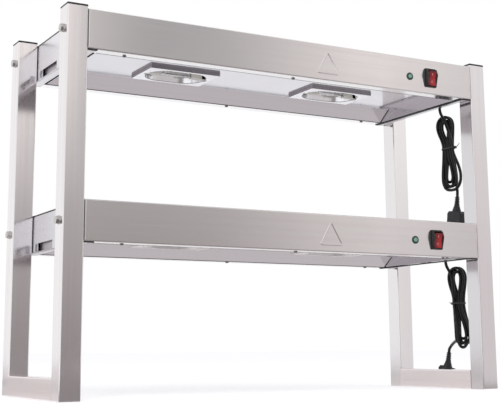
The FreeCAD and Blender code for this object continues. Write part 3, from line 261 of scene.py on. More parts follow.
def hank_strand(name, widths, hand, row, end):
    """One strand of a hank, from its foot up."""
    shape = HANKS[name]
    foot_back, waist_back, top_back = shape["backs"]
    foot_width, waist_width, top_width = widths
    places = [(FOOT_ROW, foot_back, foot_width, end, FOOT_TURN),
              (FOOT_ROW, foot_back, foot_width, max(end + ANKLE_RISE, ANKLE), FOOT_TURN),
              (UPPER_ROW, waist_back, waist_width, WAIST_FOOT, 0.0),
              (UPPER_ROW, waist_back, waist_width, WAIST_TOP, 0.0),
              (UPPER_ROW, top_back, top_width, shape["top"] - SHOULDER, TOP_TURN),
              (UPPER_ROW, top_back, top_width, shape["top"], TOP_TURN)]
    strand = []
    for apart, back, width, z, turn in places:
        out, aside = row * apart, -shape["side"] * hand * width
        strand.append(cord_place(name, HANK_OUT + out * math.cos(turn) - aside * math.sin(turn),
                                 back + out * math.sin(turn) + aside * math.cos(turn), z))
    return strand


def hank_route(name):
    """The strands of a hank in the cord's order, with a half turn at each end, as control points."""
    shape = HANKS[name]
    outer = (*OUTER_LOOPS, shape["outer"])
    inner = (*INNER_LOOPS, shape["inner"])
    order = [(outer, -1, -1, ENDS), (outer, 1, -1, FOOT), (inner, -1, -1, FOOT), (inner, 1, -1, FOLD),
             (inner, -1, 1, FOLD), (inner, 1, 1, FOOT), (outer, -1, 1, FOOT), (outer, 1, 1, ENDS + shape["lift"])]
    strands = [hank_strand(name, *strand) for strand in order]
    last = len(strands) - 1
    points = []
    for index, places in enumerate(strands):
        rising = index % 2 == 0
        ordered = places if rising else places[::-1]
        points += ordered[0 if index == 0 else 1:None if index == last else -1]
        if index < last:
            following = strands[index + 1][-1 if rising else 0]
            points += turn_points(ordered[-1], following, 1 if rising else -1)
    return points


def make_cord(name):
    """One mains cord from its bush to its plug, as one smooth spline."""
    hank = hank_route(name)
    lead = [cord_place(name, *place) for place in [EXIT] + LEADS[name]] + [hank[0] - END_RUN]
    tail = [hank[-1] - END_RUN] + [cord_place(name, *place) for place in TAILS[name]]
    points = lead + hank + tail
    data = new_curve(name + "_cord", 6, 5)
    data.use_fill_caps = True
    add_spline(data, points, CORD_RADIUS)
    cord = add_piece(name + "_cord", data)
    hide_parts(*[name + "_cord_" + part for part in ("lead", "hank", "tail")])
    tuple(points[0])


for shelf in SHELVES:
    make_cord(shelf)


# Pressed triangles on the front aprons, kept plain

def make_triangle(name):
    """A plain triangle pressed out of the front apron."""
    middle, half_base, foot, top = 0.0715, 0.026, LEVEL[name] + 0.0142, LEVEL[name] + 0.0589
    corner_radius, half_width, height, sunk = 0.0025, 0.0016, 0.0013, 0.00002
    outline = round_corners([(middle - half_base, foot), (middle + half_base, foot), (middle, top)], corner_radius)

    def lay_down(x, z, rise):
        return Vector((x, FRONT + sunk - rise, z))

    label = name + "_pressed_triangle"
    add_piece(label, ridge(label, outline, half_width, height, lay_down))


for shelf in SHELVES:
    make_triangle(shelf)


# Filaments of the halogen lamps

def make_filament(name, side):
    """The coiled filament inside a lamp tube, with its straight legs and supports."""
    inset, coil_radius, wire_radius = 0.012, 0.0011, 0.00018
    wire_bend, wire_end = 0.002, 0.006
    turns, steps = 44, 8
    support_radius, support_pitch, support_steps = 0.0036, 0.0003, 12
    low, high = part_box("_".join((name, side, "lamp_tube")))
    centre = (low + high) / 2
    half = (high.x - low.x) / 2 - inset
    coil = [centre + Vector((-half - wire_end, 0, 0)), centre + Vector((-half - wire_bend, 0, 0))]
    for step in range(turns * steps + 1):
        angle = 2 * math.pi * step / steps
        along = -half + 2 * half * step / (turns * steps)
        coil.append(centre + Vector((along, coil_radius * math.cos(angle), coil_radius * math.sin(angle))))
    coil += [centre + Vector((half + wire_bend, 0, 0)), centre + Vector((half + wire_end, 0, 0))]
    supports = []
    for share in (-0.55, 0.0, 0.55):
        angles = [2 * math.pi * step / support_steps for step in range(support_steps + 1)]
        supports.append([centre + Vector((share * half + support_pitch * step, support_radius * math.cos(angle),
                                          support_radius * math.sin(angle))) for step, angle in enumerate(angles)])
    label = "_".join((name, side, "lamp_filament"))
    data = new_curve(label, 2, 1)
    for points in [coil] + supports:
        add_spline(data, points, wire_radius)
    add_piece(label, data)


for shelf in SHELVES:
    for side, _ in SIDES:
        make_filament(shelf, side)


# Soft ribs on the plugs' cord reliefs, and the heads and free ends of the cord ties

PLUG_LEANS = {"upper": 8.0, "lower": 12.0}  # degrees


def make_relief_ribs(name):
    """The soft ribs round the collars of a plug's cord relief."""
    tip_radius, root_radius, length = 0.0043, 0.0054, 0.018
    ribs, rib_radius, sunk = 5, 0.0012, 0.15
    around, across = 28, 10
    top = cord_place(name, *TAILS[name][-1])
    turn = Matrix.Rotation(math.radians(PLUG_LEANS[name]), 3, "X")
    corners, faces = [], []
    for rib in range(ribs):
        share = (4 * rib + 1) / (4 * ribs - 2)
        radius = tip_radius + (root_radius - tip_radius) * share
        first = len(corners)
        for step in range(around):
            angle = 2 * math.pi * step / around
            ahead = (step + 1) % around
            for part in range(across):
                bulge = 2 * math.pi * part / across
                above = (part + 1) % across
                reach = radius + rib_radius * (math.cos(bulge) - sunk)
                place = Vector((reach * math.cos(angle), reach * math.sin(angle),
                                rib_radius * math.sin(bulge) - length * share))
                corners.append(top + turn @ place)
                faces.append((first + step * across + part, first + ahead * across + part,
                              first + ahead * across + above, first + step * across + above))
    label = name + "_plug_ribs"
    add_piece(label, from_faces(label, corners, faces))


def make_tie_head(name, towards, tail_rise):
    """The locking head of a tie and its free end, which tapers and curves up."""
    head_size, head_edge, head_out = (0.0052, 0.0034, 0.0056), 0.0007, 0.0012
    half, thick, reach, drift, steps = 0.0010, 0.0004, 0.011, 0.0014, 12
    taper, taper_start = 0.45, 0.8
    low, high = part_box(name + "_cord_tie")
    centre = (low + high) / 2
    edge = high.y if towards > 0 else low.y
    place = Vector((centre.x, edge + towards * head_out, centre.z))
    add_block(name + "_tie_head", head_size, head_edge, place)
    corners, faces = [], []
    for step in range(steps + 1):
        share = step / steps
        out = 0.001 + reach * share
        rise = tail_rise * share ** 1.6
        narrow = half * (1 - taper * max(0.0, share - taper_start) / (1 - taper_start))
        for x, lift in ((-1, -1), (1, -1), (1, 1), (-1, 1)):
            corners.append(place + Vector((drift * share + x * thick, towards * out, rise + lift * narrow)))
    for step in range(steps):
        for row in range(4):
            following = (row + 1) % 4
            faces.append((step * 4 + row, step * 4 + following, step * 4 + 4 + following, step * 4 + 4 + row))
    faces += [(3, 2, 1, 0), tuple(steps * 4 + row for row in range(4))]
    label = name + "_tie_end"
    add_piece(label, from_faces(label, corners, faces, smooth=False))


for shelf in SHELVES:
    make_relief_ribs(shelf)
make_tie_head("upper", -1, 0.008)
make_tie_head("lower", 1, 0.003)


# Black strips, painted shadow lines and painted highlight strips at the joints of trays, lips, aprons and end plates

STRIP_EDGE, BEAD_EDGE = 0.0005, 0.0003
JOINT_Y, JOINT_RISE = -0.1573, 0.0375  # the upright joints between the aprons and the legs


def make_dark_strips(name):
    """A black strip under the tray's joint with the right end plate, and a black block in each notch of the front
    lip.
    """
    below = LEVEL[name] - 0.0008
    add_block(name + "_right_end_seal", (0.0085, 0.316, 0.0016), STRIP_EDGE, Vector((0.4225, MIDDLE, below)))
    for side, hand in SIDES:
        add_block("_".join((name, side, "corner_seal")), (0.0190, 0.0070, 0.0016), STRIP_EDGE,
                  Vector((hand * 0.4350, -0.1528, below)))


def make_shadow_beads(name):
    """Thin dark strips of painted shadow along both lips of a shelf and where its apron meets the legs, and a painted
    highlight strip at each end of the apron.
    """
    # Painted shadow lines along the front and rear lips
    for row, y, width in (("front", -0.1315, 0.0014), ("rear", 0.1426, 0.0010)):
        add_block("_".join((name, row, "lip_shadow_bead")), (0.84, width, 0.0011), BEAD_EDGE,
                  Vector((0, y, LEVEL[name] + 0.0003)))
    for side, hand in SIDES:
        # Painted shadow line where the apron meets the leg
        add_block("_".join((name, side, "end_shadow_bead")), (0.0010, 0.0013, 0.070), BEAD_EDGE,
                  Vector((hand * 0.4445, JOINT_Y, LEVEL[name] + JOINT_RISE)))
        # A strip at each apron end in the lighter rail steel: a painted highlight along the apron's fold
        add_block("_".join((name, side, "apron_edge_highlight")), (0.0015, 0.0014, 0.071), STRIP_EDGE,
                  Vector((hand * 0.4432, JOINT_Y, LEVEL[name] + JOINT_RISE)))


for shelf in SHELVES:
    make_dark_strips(shelf)
    make_shadow_beads(shelf)


# Baffles behind the vents of the end plates, and the tab folded out at each rear vent

def make_vent_parts(name, side, hand):
    """A dull plate behind both vents, and a folded tab at the rear vent's end."""
    add_block("_".join((name, side, "vent_baffle")), (0.0008, 0.204, 0.0250), 0.0003,
              Vector((hand * 0.4365, MIDDLE, LEVEL[name] + 0.0165)))
    add_block("_".join((name, side, "vent_tab")), (0.0060, 0.0012, 0.0168), 0.0004,
              Vector((hand * 0.4468, 0.0988, LEVEL[name] + 0.0100)))


for shelf in SHELVES:
    for side, hand in SIDES:
        make_vent_parts(shelf, side, hand)


# Marks on the rockers: a bar and a ring

def make_rocker_marks(name):
    """A bar and a ring printed on the rocker, laid on its faces."""
    bar_half_width, bar_half_height, ring_radius, ring_steps = 0.0004, 0.0024, 0.0021, 32
    line_half_width, line_height, sunk = 0.0004, 0.00008, 0.00005
    low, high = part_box(name + "_switch_rocker")
    surface = surface_of(name + "_switch_rocker")
    centre = (low + high) / 2
    quarter = (high.z - low.z) / 4

    def lay_down(x, z, rise):
        hit = surface.ray_cast(Vector((x, low.y - 0.01, z)), Vector((0, 1, 0)))[0]
        depth = hit.y if hit else centre.y
        return Vector((x, depth - sunk - rise, z))

    bar = [Vector((centre.x + across * bar_half_width, centre.z + quarter + up * bar_half_height))
           for across, up in ((-1, -1), (1, -1), (1, 1), (-1, 1))]
    angles = [2 * math.pi * step / ring_steps for step in range(ring_steps)]
    ring = [Vector((centre.x + ring_radius * math.cos(angle), centre.z - quarter + ring_radius * math.sin(angle)))
            for angle in angles]
    for suffix, outline in (("bar", bar), ("ring", ring)):
        label = "_".join((name, "rocker", suffix))
        add_piece(label, ridge(label, outline, line_half_width, line_height, lay_down),
                  name + "_rocker")


for shelf in SHELVES:
    make_rocker_marks(shelf)


# Materials

def node(tree, kind, inputs=None, **props):
    """Add a shader node, with its settings and the values or links of its inputs."""
    made = tree.nodes.new("ShaderNode" + kind)
    for key, value in props.items():
        setattr(made, key, value)
    for key, value in (inputs or {}).items():
        if isinstance(value, bpy.types.NodeSocket):
            tree.links.new(value, made.inputs[key])
        else:
            made.inputs[key].default_value = value
    return made


MATERIALS = {}  # by the names asked for


def new_material(name):
    """An empty material with its output, and its object coordinates."""
    material = bpy.data.materials.new(name)
    MATERIALS[name] = material
    material.use_nodes = True
    tree = material.node_tree
    tree.nodes.clear()
    output = node(tree, "OutputMaterial")
    place = node(tree, "TexCoord").outputs["Object"]
    return material, tree, output, place


def noise(tree, place, stretch, detail=3.0, roughness=0.55):
    """Noise stretched along the axes, from 0 to 1."""
    mapped = node(tree, "Mapping", {"Vector": place, "Scale": stretch})
    return node(tree, "TexNoise", {"Vector": mapped.outputs["Vector"], "Scale": 1.0, "Detail": detail,
                                   "Roughness": roughness}).outputs["Fac"]


def spread(tree, value, low, high, start=0.3, end=0.7):
    """Map a value from start and end to low and high."""
    return node(tree, "MapRange", {"Value": value, "From Min": start, "From Max": end,
                                   "To Min": low, "To Max": high}).outputs["Result"]


def math_node(tree, kind, first, second):
    """One sum, product or maximum."""
    return node(tree, "Math", {0: first, 1: second}, operation=kind).outputs[0]


def mix(tree, share, first, second):
    """A colour between two others."""
    made = node(tree, "Mix", {0: share, 6: first, 7: second}, data_type="RGBA")
    return made.outputs[2]


def edge_wear_and_highlight(tree, radius=0.0012):
    """How much a point lies on an outer edge, and the rounded normal there."""
    bevel = node(tree, "Bevel", {"Radius": radius}, samples=4).outputs["Normal"]
    plain = node(tree, "NewGeometry").outputs["Normal"]
    match = node(tree, "VectorMath", {0: bevel, 1: plain}, operation="DOT_PRODUCT").outputs["Value"]
    return spread(tree, match, 1.0, 0.0, 0.86, 0.995), bevel


def finish_material(tree, output, settings):
    """The main shader of a material."""
    shader = node(tree, "BsdfPrincipled", settings)
    tree.links.new(shader.outputs["BSDF"], output.inputs["Surface"])


def base_colour(material):
    """A finished material's tree, the colour input of its shader and what feeds it."""
    tree = material.node_tree
    target = next(made for made in tree.nodes if made.type == "BSDF_PRINCIPLED").inputs["Base Color"]
    return tree, target, target.links[0].from_socket


def steel(name, light, dark, along, rough, grain=0.06, relief=0.04, stain=0.10, tint=(1.0, 0.95, 0.94),
          painted_edge_tone=(0.95, 0.94, 0.94, 1)):
    """Brushed stainless steel: fine hairs and soft streaks along one axis, faint stains, and edges mixed towards an
    edge tone that is lighter by default, partly rubbed wear and partly a painted highlight, and darker on the shelf
    shell, a painted shade.
    """
    material, tree, output, place = new_material(name)
    fine = [1600.0, 1600.0, 1600.0]
    broad = [95.0, 95.0, 95.0]
    fine["xyz".index(along)] = 5.0
    broad["xyz".index(along)] = 1.3
    hairs = noise(tree, place, fine, 4.0, 0.7)
    streaks = noise(tree, place, broad, 2.0)
    stains = noise(tree, place, (7.0, 7.0, 7.0), 4.0)
    edge, bevel = edge_wear_and_highlight(tree)
    warm = tuple(channel * share for channel, share in zip(dark, tint)) + (1.0,)
    stained = tuple(channel * 0.8 for channel in warm[:3]) + (1.0,)
    colour = mix(tree, spread(tree, hairs, 0.0, 1.0, 0.36, 0.64), dark, light)
    colour = mix(tree, spread(tree, streaks, 0.0, 0.8, 0.45, 0.68), colour, warm)
    colour = mix(tree, spread(tree, stains, 0.0, stain, 0.45, 0.75), colour, stained)
    # Edge tone: a lighter one is partly rubbed wear and partly a painted highlight; the shelf shell's darker one is a
    # painted shade along its edges.
    colour = mix(tree, math_node(tree, "MULTIPLY", edge, 0.6), colour, painted_edge_tone)
    roughness = math_node(tree, "ADD", spread(tree, hairs, rough - grain / 2, rough + grain / 2),
                          spread(tree, streaks, -grain / 4, grain / 4))
    roughness = math_node(tree, "ADD", roughness, spread(tree, stains, -0.01, 0.03))
    bump = node(tree, "Bump", {"Strength": relief, "Distance": 0.0002, "Height": hairs, "Normal": bevel})
    finish_material(tree, output, {"Base Color": colour, "Metallic": 1.0, "Roughness": roughness,
                                   "Normal": bump.outputs["Normal"]})
    return material


def painted_facing_light(material, tone, start, end, first, last, axis="Z"):
    """Painted light and shade: mix a tone into a metal as its faces turn along an axis; its share goes from first at
    start to last at end.
    """
    tree, target, plain = base_colour(material)
    turned = node(tree, "SeparateXYZ", {0: node(tree, "NewGeometry").outputs["Normal"]}).outputs[axis]
    share = spread(tree, turned, first, last, start, end)
    tree.links.new(mix(tree, share, plain, tone), target)
    return material


def bright_metal(name, light, dark, rough, mottle=300.0):
    """Plain drawn or turned metal with fine mottling."""
    material, tree, output, place = new_material(name)
    grains = noise(tree, place, (mottle, mottle, mottle), 5.0, 0.6)
    smudges = noise(tree, place, (30.0, 30.0, 30.0), 3.0)
    edge, bevel = edge_wear_and_highlight(tree, 0.0004)
    colour = mix(tree, spread(tree, grains, 0.0, 1.0), dark, light)
    colour = mix(tree, math_node(tree, "MULTIPLY", edge, 0.4), colour, (0.92, 0.91, 0.9, 1.0))
    roughness = math_node(tree, "ADD", spread(tree, grains, rough - 0.05, rough + 0.07),
                          spread(tree, smudges, -0.03, 0.05))
    bump = node(tree, "Bump", {"Strength": 0.15, "Distance": 0.0001, "Height": grains, "Normal": bevel})
    finish_material(tree, output, {"Base Color": colour, "Metallic": 1.0, "Roughness": roughness,
                                   "Normal": bump.outputs["Normal"]})
    return material


def moulded(name, colour, rough, speckle=0.25, coat=0.0, relief=0.2, scale=900.0):
    """Moulded plastic or rubber with a fine skin, dust and rubbed edges."""
    material, tree, output, place = new_material(name)
    skin = noise(tree, place, (scale, scale, scale), 4.0, 0.6)
    dust = noise(tree, place, (60.0, 60.0, 60.0), 5.0, 0.65)
    edge, bevel = edge_wear_and_highlight(tree, 0.0005)
    lighter = tuple(min(1.0, channel * (1 + speckle) + 0.012) for channel in colour[:3]) + (1.0,)
    rubbed = tuple(min(1.0, channel * 1.5 + 0.035) for channel in colour[:3]) + (1.0,)
    shade = mix(tree, spread(tree, skin, 0.0, 0.6), colour, lighter)
    shade = mix(tree, spread(tree, dust, 0.0, 0.5, 0.5, 0.8), shade, lighter)
    shade = mix(tree, math_node(tree, "MULTIPLY", edge, 0.45), shade, rubbed)
    roughness = math_node(tree, "ADD", spread(tree, skin, rough - 0.05, rough + 0.05),
                          spread(tree, dust, -0.04, 0.08))
    bump = node(tree, "Bump", {"Strength": relief, "Distance": 0.0001, "Height": skin, "Normal": bevel})
    finish_material(tree, output, {"Base Color": shade, "Roughness": roughness, "Normal": bump.outputs["Normal"],
                                   "Specular IOR Level": 0.3, "Coat Weight": coat, "Coat Roughness": 0.12,
                                   "Coat IOR": 1.3})
    return material


def lens(name, middle, rim):
    """A moulded lens, pale where it faces the eye, a painted highlight, and dark at its rim, a painted shade."""
    material = moulded(name, middle, 0.12, 0.15, coat=1.0, relief=0.04)
    tree, target, body = base_colour(material)
    facing = node(tree, "LayerWeight", {"Blend": 0.5}).outputs["Facing"]
    # Painted highlight in the middle and painted shade at the rim, by how squarely a face meets the eye
    tree.links.new(mix(tree, spread(tree, facing, 0.0, 1.0, 0.08, 0.45), body, rim), target)
    return material


def lamp_plastic_with_painted_shade(name, bright, dark):
    """Plastic of a translucent rocker over a lamp: cloudy, with painted shade making it darker towards one side and
    the top.
    """
    material = moulded(name, bright, 0.14, 0.1, coat=0.6, relief=0.05)
    tree, target, body = base_colour(material)
    place = node(tree, "TexCoord").outputs["Generated"]
    split = node(tree, "SeparateXYZ", {0: place})
    across = spread(tree, split.outputs["X"], 1.0, 0.0, 0.15, 0.62)
    high = spread(tree, split.outputs["Z"], 0.0, 1.0, 0.62, 1.0)
    clouds = noise(tree, place, (3.0, 3.0, 4.0), 2.0)
    # Painted shade: darker towards the low X side and the top, broken up by the clouds
    share = math_node(tree, "MULTIPLY", math_node(tree, "MAXIMUM", across, high),
                      spread(tree, clouds, 0.6, 1.0))
    tree.links.new(mix(tree, share, body, dark), target)
    return material


def glass(name, tint, rough):
    """Clear quartz with faint streaks from drawing."""
    material, tree, output, place = new_material(name)
    streaks = noise(tree, place, (30.0, 700.0, 700.0), 3.0)
    colour = mix(tree, spread(tree, streaks, 0.0, 1.0), tint, (1.0, 1.0, 1.0, 1.0))
    roughness = spread(tree, streaks, rough, rough + 0.05)
    bump = node(tree, "Bump", {"Strength": 0.06, "Distance": 0.0001, "Height": streaks})
    finish_material(tree, output, {"Base Color": colour, "Roughness": roughness, "Transmission Weight": 1.0,
                                   "IOR": 1.45, "Normal": bump.outputs["Normal"]})
    return material


LEG_TINT = (1.0, 0.965, 0.96)
SHEET_TINT = (1.0, 0.985, 0.98)
END_TINT = (1.0, 0.98, 0.98)
# Faces turned towards -X, which the right legs' steel darkens as a painted shade
LEFT_FACE = (-0.9, -0.6)
LEFT_SHARES = (1.0, 0.0)

steel("side_frame_steel", (0.86, 0.84, 0.85, 1), (0.82, 0.80, 0.81, 1), "z", 0.11, tint=LEG_TINT)
# Right front leg: a slightly lighter copy of the leg steel as painted light, and painted shade on its faces turned
# towards -X
painted_facing_light(
    steel("right_front_steel", (0.88, 0.86, 0.87, 1), (0.84, 0.82, 0.83, 1), "z", 0.11, tint=LEG_TINT),
    (0.68, 0.665, 0.68, 1), *LEFT_FACE, *LEFT_SHARES, "X")
# Right rear leg: a much lighter copy of the leg steel as painted light, and painted shade on its faces turned towards
# -X
painted_facing_light(
    steel("right_rear_steel", (0.98, 0.975, 0.98, 1), (0.95, 0.945, 0.95, 1), "z", 0.11,
          tint=(1.0, 0.99, 0.985)),
    (0.80, 0.78, 0.79, 1), *LEFT_FACE, *LEFT_SHARES, "X")
steel("rail_steel", (0.87, 0.82, 0.825, 1), (0.82, 0.77, 0.775, 1), "y", 0.15)
# Shelf shell: its edges darkened as a painted shade, and its faces turned down lightened towards a pale tone as
# painted light
painted_facing_light(
    steel("shelf_steel", (0.735, 0.715, 0.715, 1), (0.715, 0.695, 0.695, 1), "x", 0.19, 0.04, 0.025, 0.06,
          SHEET_TINT, (0.40, 0.38, 0.38, 1)),
    (0.93, 0.92, 0.925, 1), -0.9, -0.6, 0.9, 0.0)
steel("end_steel", (0.735, 0.735, 0.77, 1), (0.705, 0.705, 0.74, 1), "y", 0.28, 0.05, 0.03, 0.05, END_TINT)
# A lighter copy of the end plate steel for the upper left end plate: painted light
steel("upper_end_steel", (0.82, 0.815, 0.845, 1), (0.79, 0.785, 0.815, 1), "y", 0.28, 0.05, 0.03, 0.05,
      END_TINT)
steel("baffle_steel", (0.68, 0.66, 0.69, 1), (0.58, 0.56, 0.59, 1), "y", 0.5)
steel("tray_steel", (0.655, 0.645, 0.68, 1), (0.635, 0.625, 0.66, 1), "x", 0.12, 0.04, 0.02, 0.06,
      SHEET_TINT)
bright_metal("bolt_steel", (0.64, 0.63, 0.62, 1), (0.40, 0.39, 0.38, 1), 0.12)
bright_metal("screw_steel", (0.26, 0.25, 0.25, 1), (0.13, 0.125, 0.125, 1), 0.30)
# Upper lamp housings: all but the downward faces darkened towards a dark tone as painted shade
painted_facing_light(
    steel("lamp_steel", (0.84, 0.84, 0.86, 1), (0.76, 0.76, 0.79, 1), "x", 0.18, 0.08, 0.06),
    (0.30, 0.29, 0.31, 1), -0.8, -0.2, 0.0, 0.85)
# A lighter, rougher copy of the lamp steel for the lower lamp housings: painted light
steel("pale_lamp_steel", (0.95, 0.94, 0.945, 1), (0.89, 0.88, 0.885, 1), "x", 0.30, 0.08, 0.06)
bright_metal("reflector_aluminium", (0.90, 0.90, 0.91, 1), (0.78, 0.78, 0.80, 1), 0.14, 180.0)
# A lighter, rougher copy of the reflector aluminium for the lower lamps: painted light
bright_metal("pale_aluminium", (0.97, 0.965, 0.97, 1), (0.91, 0.905, 0.91, 1), 0.36, 180.0)
glass("lamp_glass", (0.93, 0.95, 0.96, 1), 0.03)
bright_metal("filament", (0.42, 0.40, 0.38, 1), (0.25, 0.24, 0.23, 1), 0.35)
moulded("holder_ceramic", (0.78, 0.76, 0.70, 1), 0.55, 0.08)
moulded("cap_plastic", (0.022, 0.022, 0.024, 1), 0.42)
moulded("switch_plastic", (0.016, 0.015, 0.016, 1), 0.3, coat=0.3)
lamp_plastic_with_painted_shade("rocker_plastic", (0.365, 0.005, 0.011, 1), (0.036, 0.0015, 0.003, 1))
moulded("pilot_plastic", (0.02, 0.06, 0.045, 1), 0.3, coat=0.3)
lens("pilot_lens", (0.22, 0.42, 0.33, 1), (0.004, 0.03, 0.02, 1))
moulded("block_plastic", (0.72, 0.70, 0.62, 1), 0.45, 0.06)
# Dark grey of the painted shadow lines at the shelves' joints
moulded("bead_sealant", (0.17, 0.16, 0.16, 1), 0.5)
moulded("bush_plastic", (0.02, 0.02, 0.021, 1), 0.5)
moulded("cord_rubber", (0.004, 0.004, 0.0055, 1), 0.3, 0.12, scale=1400.0)
moulded("tie_plastic", (0.03, 0.03, 0.032, 1), 0.35)
moulded("tie_core", (0.33, 0.33, 0.34, 1), 0.35)
moulded("mark_paint", (0.50, 0.24, 0.22, 1), 0.35, 0.05)
moulded("plug_rubber", (0.019, 0.019, 0.022, 1), 0.42)
bright_metal("pin_brass", (0.80, 0.63, 0.33, 1), (0.62, 0.47, 0.22, 1), 0.25)

# The material of each piece, by the first of these that its name ends on
ENDINGS = {
    "right_front_leg": "right_front_steel", "right_rear_leg": "right_rear_steel", "_leg": "side_frame_steel",
    "_bottom_rail": "rail_steel", "leg_end_caps": "cap_plastic",
    "shelf_bolts": "bolt_steel", "shelf_nuts": "bolt_steel", "_shelf_shell": "shelf_steel",
    "upper_left_end_plate": "upper_end_steel", "_end_plate": "end_steel",
    "_reflector_tray": "tray_steel", "_tray_screws": "screw_steel",
    "lower_left_lamp_housing": "pale_lamp_steel", "lower_right_lamp_housing": "pale_lamp_steel",
    "_lamp_housing": "lamp_steel",
    "lower_left_lamp_reflector": "pale_aluminium", "lower_right_lamp_reflector": "pale_aluminium",
    "_lamp_reflector": "reflector_aluminium",
    "_lamp_tube": "lamp_glass", "_lamp_holders": "holder_ceramic", "_lamp_filament": "filament",
    "_switch_housing": "switch_plastic", "_switch_rocker": "rocker_plastic",
    "_rocker_bar": "mark_paint", "_rocker_ring": "mark_paint",
    "_pilot_bezel": "pilot_plastic", "_pilot_lens": "pilot_lens", "_connector_block": "block_plastic",
    "_cord_bush": "bush_plastic", "_cord": "cord_rubber",
    "_cord_tie": "tie_plastic", "_tie_head": "tie_plastic", "_tie_end": "tie_core",
    "_plug_body": "plug_rubber", "_plug_ribs": "plug_rubber", "_plug_pins": "pin_brass",
    "_pressed_triangle": "shelf_steel", "_seal": "bush_plastic", "_bead": "bead_sealant",
    "_apron_edge": "rail_steel", "_vent_baffle": "baffle_steel", "_vent_tab": "end_steel",
}


def paint(piece):
    """Give a piece the material that its name ends on."""
    material = next(MATERIALS[made] for ending, made in ENDINGS.items() if piece.name.endswith(ending))
    if piece.material_slots:
        for place in piece.material_slots:
            place.material = material
    else:
        piece.data.materials.append(material)


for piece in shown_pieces():
    paint(piece)


# Studio: floor, cards seen only in gloss, lamps and a white world

BACKGROUND_RAYS = ("Is Camera Ray", "Is Glossy Ray", "Is Transmission Ray")
FLOOR_REACH = 30.0
CARD_LIFT = 0.0006  # how high the level cards lie above the floor
CARD_DEPTH = -3.6  # the plane of the upright card
DIM = (0.30, 0.275, 0.275, 1)


def seen_by(tree, rays):
    """One where a ray is of any of the named kinds."""
    path = node(tree, "LightPath")
    total = path.outputs[rays[0]]
    for ray in rays[1:]:
        total = math_node(tree, "MAXIMUM", total, path.outputs[ray])
    return total


def make_world():
    """White where it is seen or mirrored, and a soft even light elsewhere."""
    world = bpy.data.worlds.new("studio")
    bpy.context.scene.world = world
    world.use_nodes = True
    tree = world.node_tree
    tree.nodes.clear()
    ambient = node(tree, "Background", {"Color": (0.98, 0.98, 1.0, 1), "Strength": 0.68})
    white = node(tree, "Background", {"Color": (1.0, 1.0, 1.0, 1), "Strength": 1.0})
    both = node(tree, "MixShader", {0: seen_by(tree, BACKGROUND_RAYS), 1: ambient.outputs[0], 2: white.outputs[0]})
    output = node(tree, "OutputWorld")
    tree.links.new(both.outputs[0], output.inputs["Surface"])


def flat_card(name, corners, material):
    """A flat staged sheet."""
    mesh = bpy.data.meshes.new(name)
    mesh.from_pydata(corners, [], [(0, 1, 2, 3)])
    card = bpy.data.objects.new(name, mesh)
    bpy.context.scene.collection.objects.link(card)
    mesh.materials.append(material)
    return card


def level_corners(low, high, z):
    """The corners of a level rectangle."""
    (x0, y0), (x1, y1) = low, high
    return [(x0, y0, z), (x1, y0, z), (x1, y1, z), (x0, y1, z)]


def make_floor():
    """A pale floor that shows white and keeps the object's shadow."""
    material, tree, output, _ = new_material("floor")
    matt = node(tree, "BsdfDiffuse", {"Color": (0.84, 0.84, 0.85, 1)})
    glow = node(tree, "Emission", {"Color": (1, 1, 1, 1), "Strength": 0.42})
    dark = node(tree, "Emission", {"Strength": 0.0})
    seen = node(tree, "MixShader", {0: seen_by(tree, BACKGROUND_RAYS), 1: dark.outputs[0], 2: glow.outputs[0]})
    both = node(tree, "AddShader", {0: matt.outputs[0], 1: seen.outputs[0]})
    tree.links.new(both.outputs[0], output.inputs["Surface"])
    flat_card("floor", level_corners((-FLOOR_REACH, -FLOOR_REACH), (FLOOR_REACH, FLOOR_REACH), 0), material)


def make_card(name, corners, colour_at):
    """A card that only gloss sees; colour_at works out its tone from its place."""
    material, tree, output, place = new_material(name)
    tone = colour_at(tree, node(tree, "SeparateXYZ", {0: place}).outputs)
    glow = node(tree, "Emission", {"Color": tone, "Strength": 1.0})
    tree.links.new(glow.outputs[0], output.inputs["Surface"])
    card = flat_card(name, corners, material)
    card.visible_camera = False
    card.visible_diffuse = False
    card.visible_shadow = False
    card.visible_transmission = False


def make_floor_card(name, low, high, colour_at):
    """A card just above the floor."""
    make_card(name, level_corners(low, high, CARD_LIFT), colour_at)


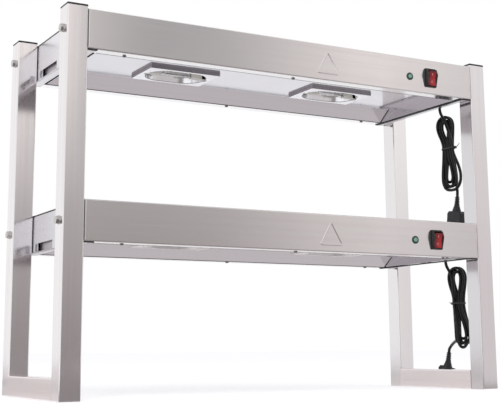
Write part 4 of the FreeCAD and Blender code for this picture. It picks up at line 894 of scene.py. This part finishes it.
def front_tone(tree, axes):
    """Dim at the foot and bright at the top left, with a bright band towards the right."""
    def between(axis, start, end):
        return spread(tree, axes[axis], 0.0, 1.0, start, end)

    tone = DIM
    for low, high, shade in ((0.0, 0.5, (0.43, 0.40, 0.40, 1)), (0.5, 1.0, (0.52, 0.50, 0.50, 1)),
                             (1.0, 1.7, (0.475, 0.47, 0.475, 1))):
        tone = mix(tree, between("Z", low, high), tone, shade)
    upper_left = math_node(tree, "MULTIPLY", spread(tree, axes["X"], 1.0, 0.0, 0.72, 0.86), between("Z", 0.8, 1.6))
    tone = mix(tree, upper_left, tone, (1.14, 1.09, 1.05, 1))
    band = mix(tree, between("Z", 0.6, 1.7), (0.93, 0.885, 0.88, 1), (1.16, 1.09, 1.075, 1))
    tone = mix(tree, between("X", 1.6, 2.7), tone, band)
    side = mix(tree, between("Z", 0.6, 1.7), (0.69, 0.65, 0.655, 1), (0.82, 0.80, 0.80, 1))
    return mix(tree, between("X", 2.8, 3.35), tone, side)


def rear_tone(tree, axes):
    """The floor behind the stand as the trays' slopes mirror it, dimmer further back."""
    return mix(tree, spread(tree, axes["Y"], 0.0, 1.0, 0.75, 1.1), (0.71, 0.665, 0.665, 1), (0.51, 0.49, 0.495, 1))


def near_tone(tree, axes):
    """The floor before the stand, brighter towards the right."""
    return mix(tree, spread(tree, axes["X"], 0.0, 1.0, 0.3, 0.9), DIM, (0.68, 0.645, 0.65, 1))


def pale_tone(tree, axes):
    """The floor beside and under the stand, the same all over."""
    return 0.80, 0.75, 0.75, 1


def make_lamp(name, place, target, size, power):
    """A soft square lamp."""
    data = bpy.data.lights.new(name, "AREA")
    data.size = size
    data.energy = power
    lamp = bpy.data.objects.new(name, data)
    lamp.location = place
    lamp.rotation_mode = "QUATERNION"
    lamp.visible_glossy = False
    lamp.rotation_quaternion = (Vector(target) - Vector(place)).to_track_quat("-Z", "Y")
    bpy.context.scene.collection.objects.link(lamp)


make_world()
make_floor()
make_card("front_card", [(-0.7, CARD_DEPTH, 0.004), (6, CARD_DEPTH, 0.004), (6, CARD_DEPTH, 4.5),
                         (-0.7, CARD_DEPTH, 4.5)], front_tone)
make_floor_card("rear_floor_card", (-0.9, 0.22), (2.6, 1.6), rear_tone)
make_floor_card("front_floor_card", (-0.9, CARD_DEPTH), (3.6, -0.17), near_tone)
make_floor_card("left_floor_card", (-4.0, -0.17), (-0.92, 4.0), pale_tone)
make_floor_card("middle_floor_card", (-0.44, -0.17), (0.44, 0.22), pale_tone)
make_floor_card("near_floor_card", (-0.92, -0.17), (-0.50, 0.22), pale_tone)
make_lamp("key", (-1.6, -2.4, 2.6), (0, 0, 0.35), 1.4, 34)
make_lamp("fill", (2.4, -2.0, 2.0), (0, 0, 0.35), 1.6, 16)

view = bpy.context.scene.view_settings
view.view_transform = "Standard"
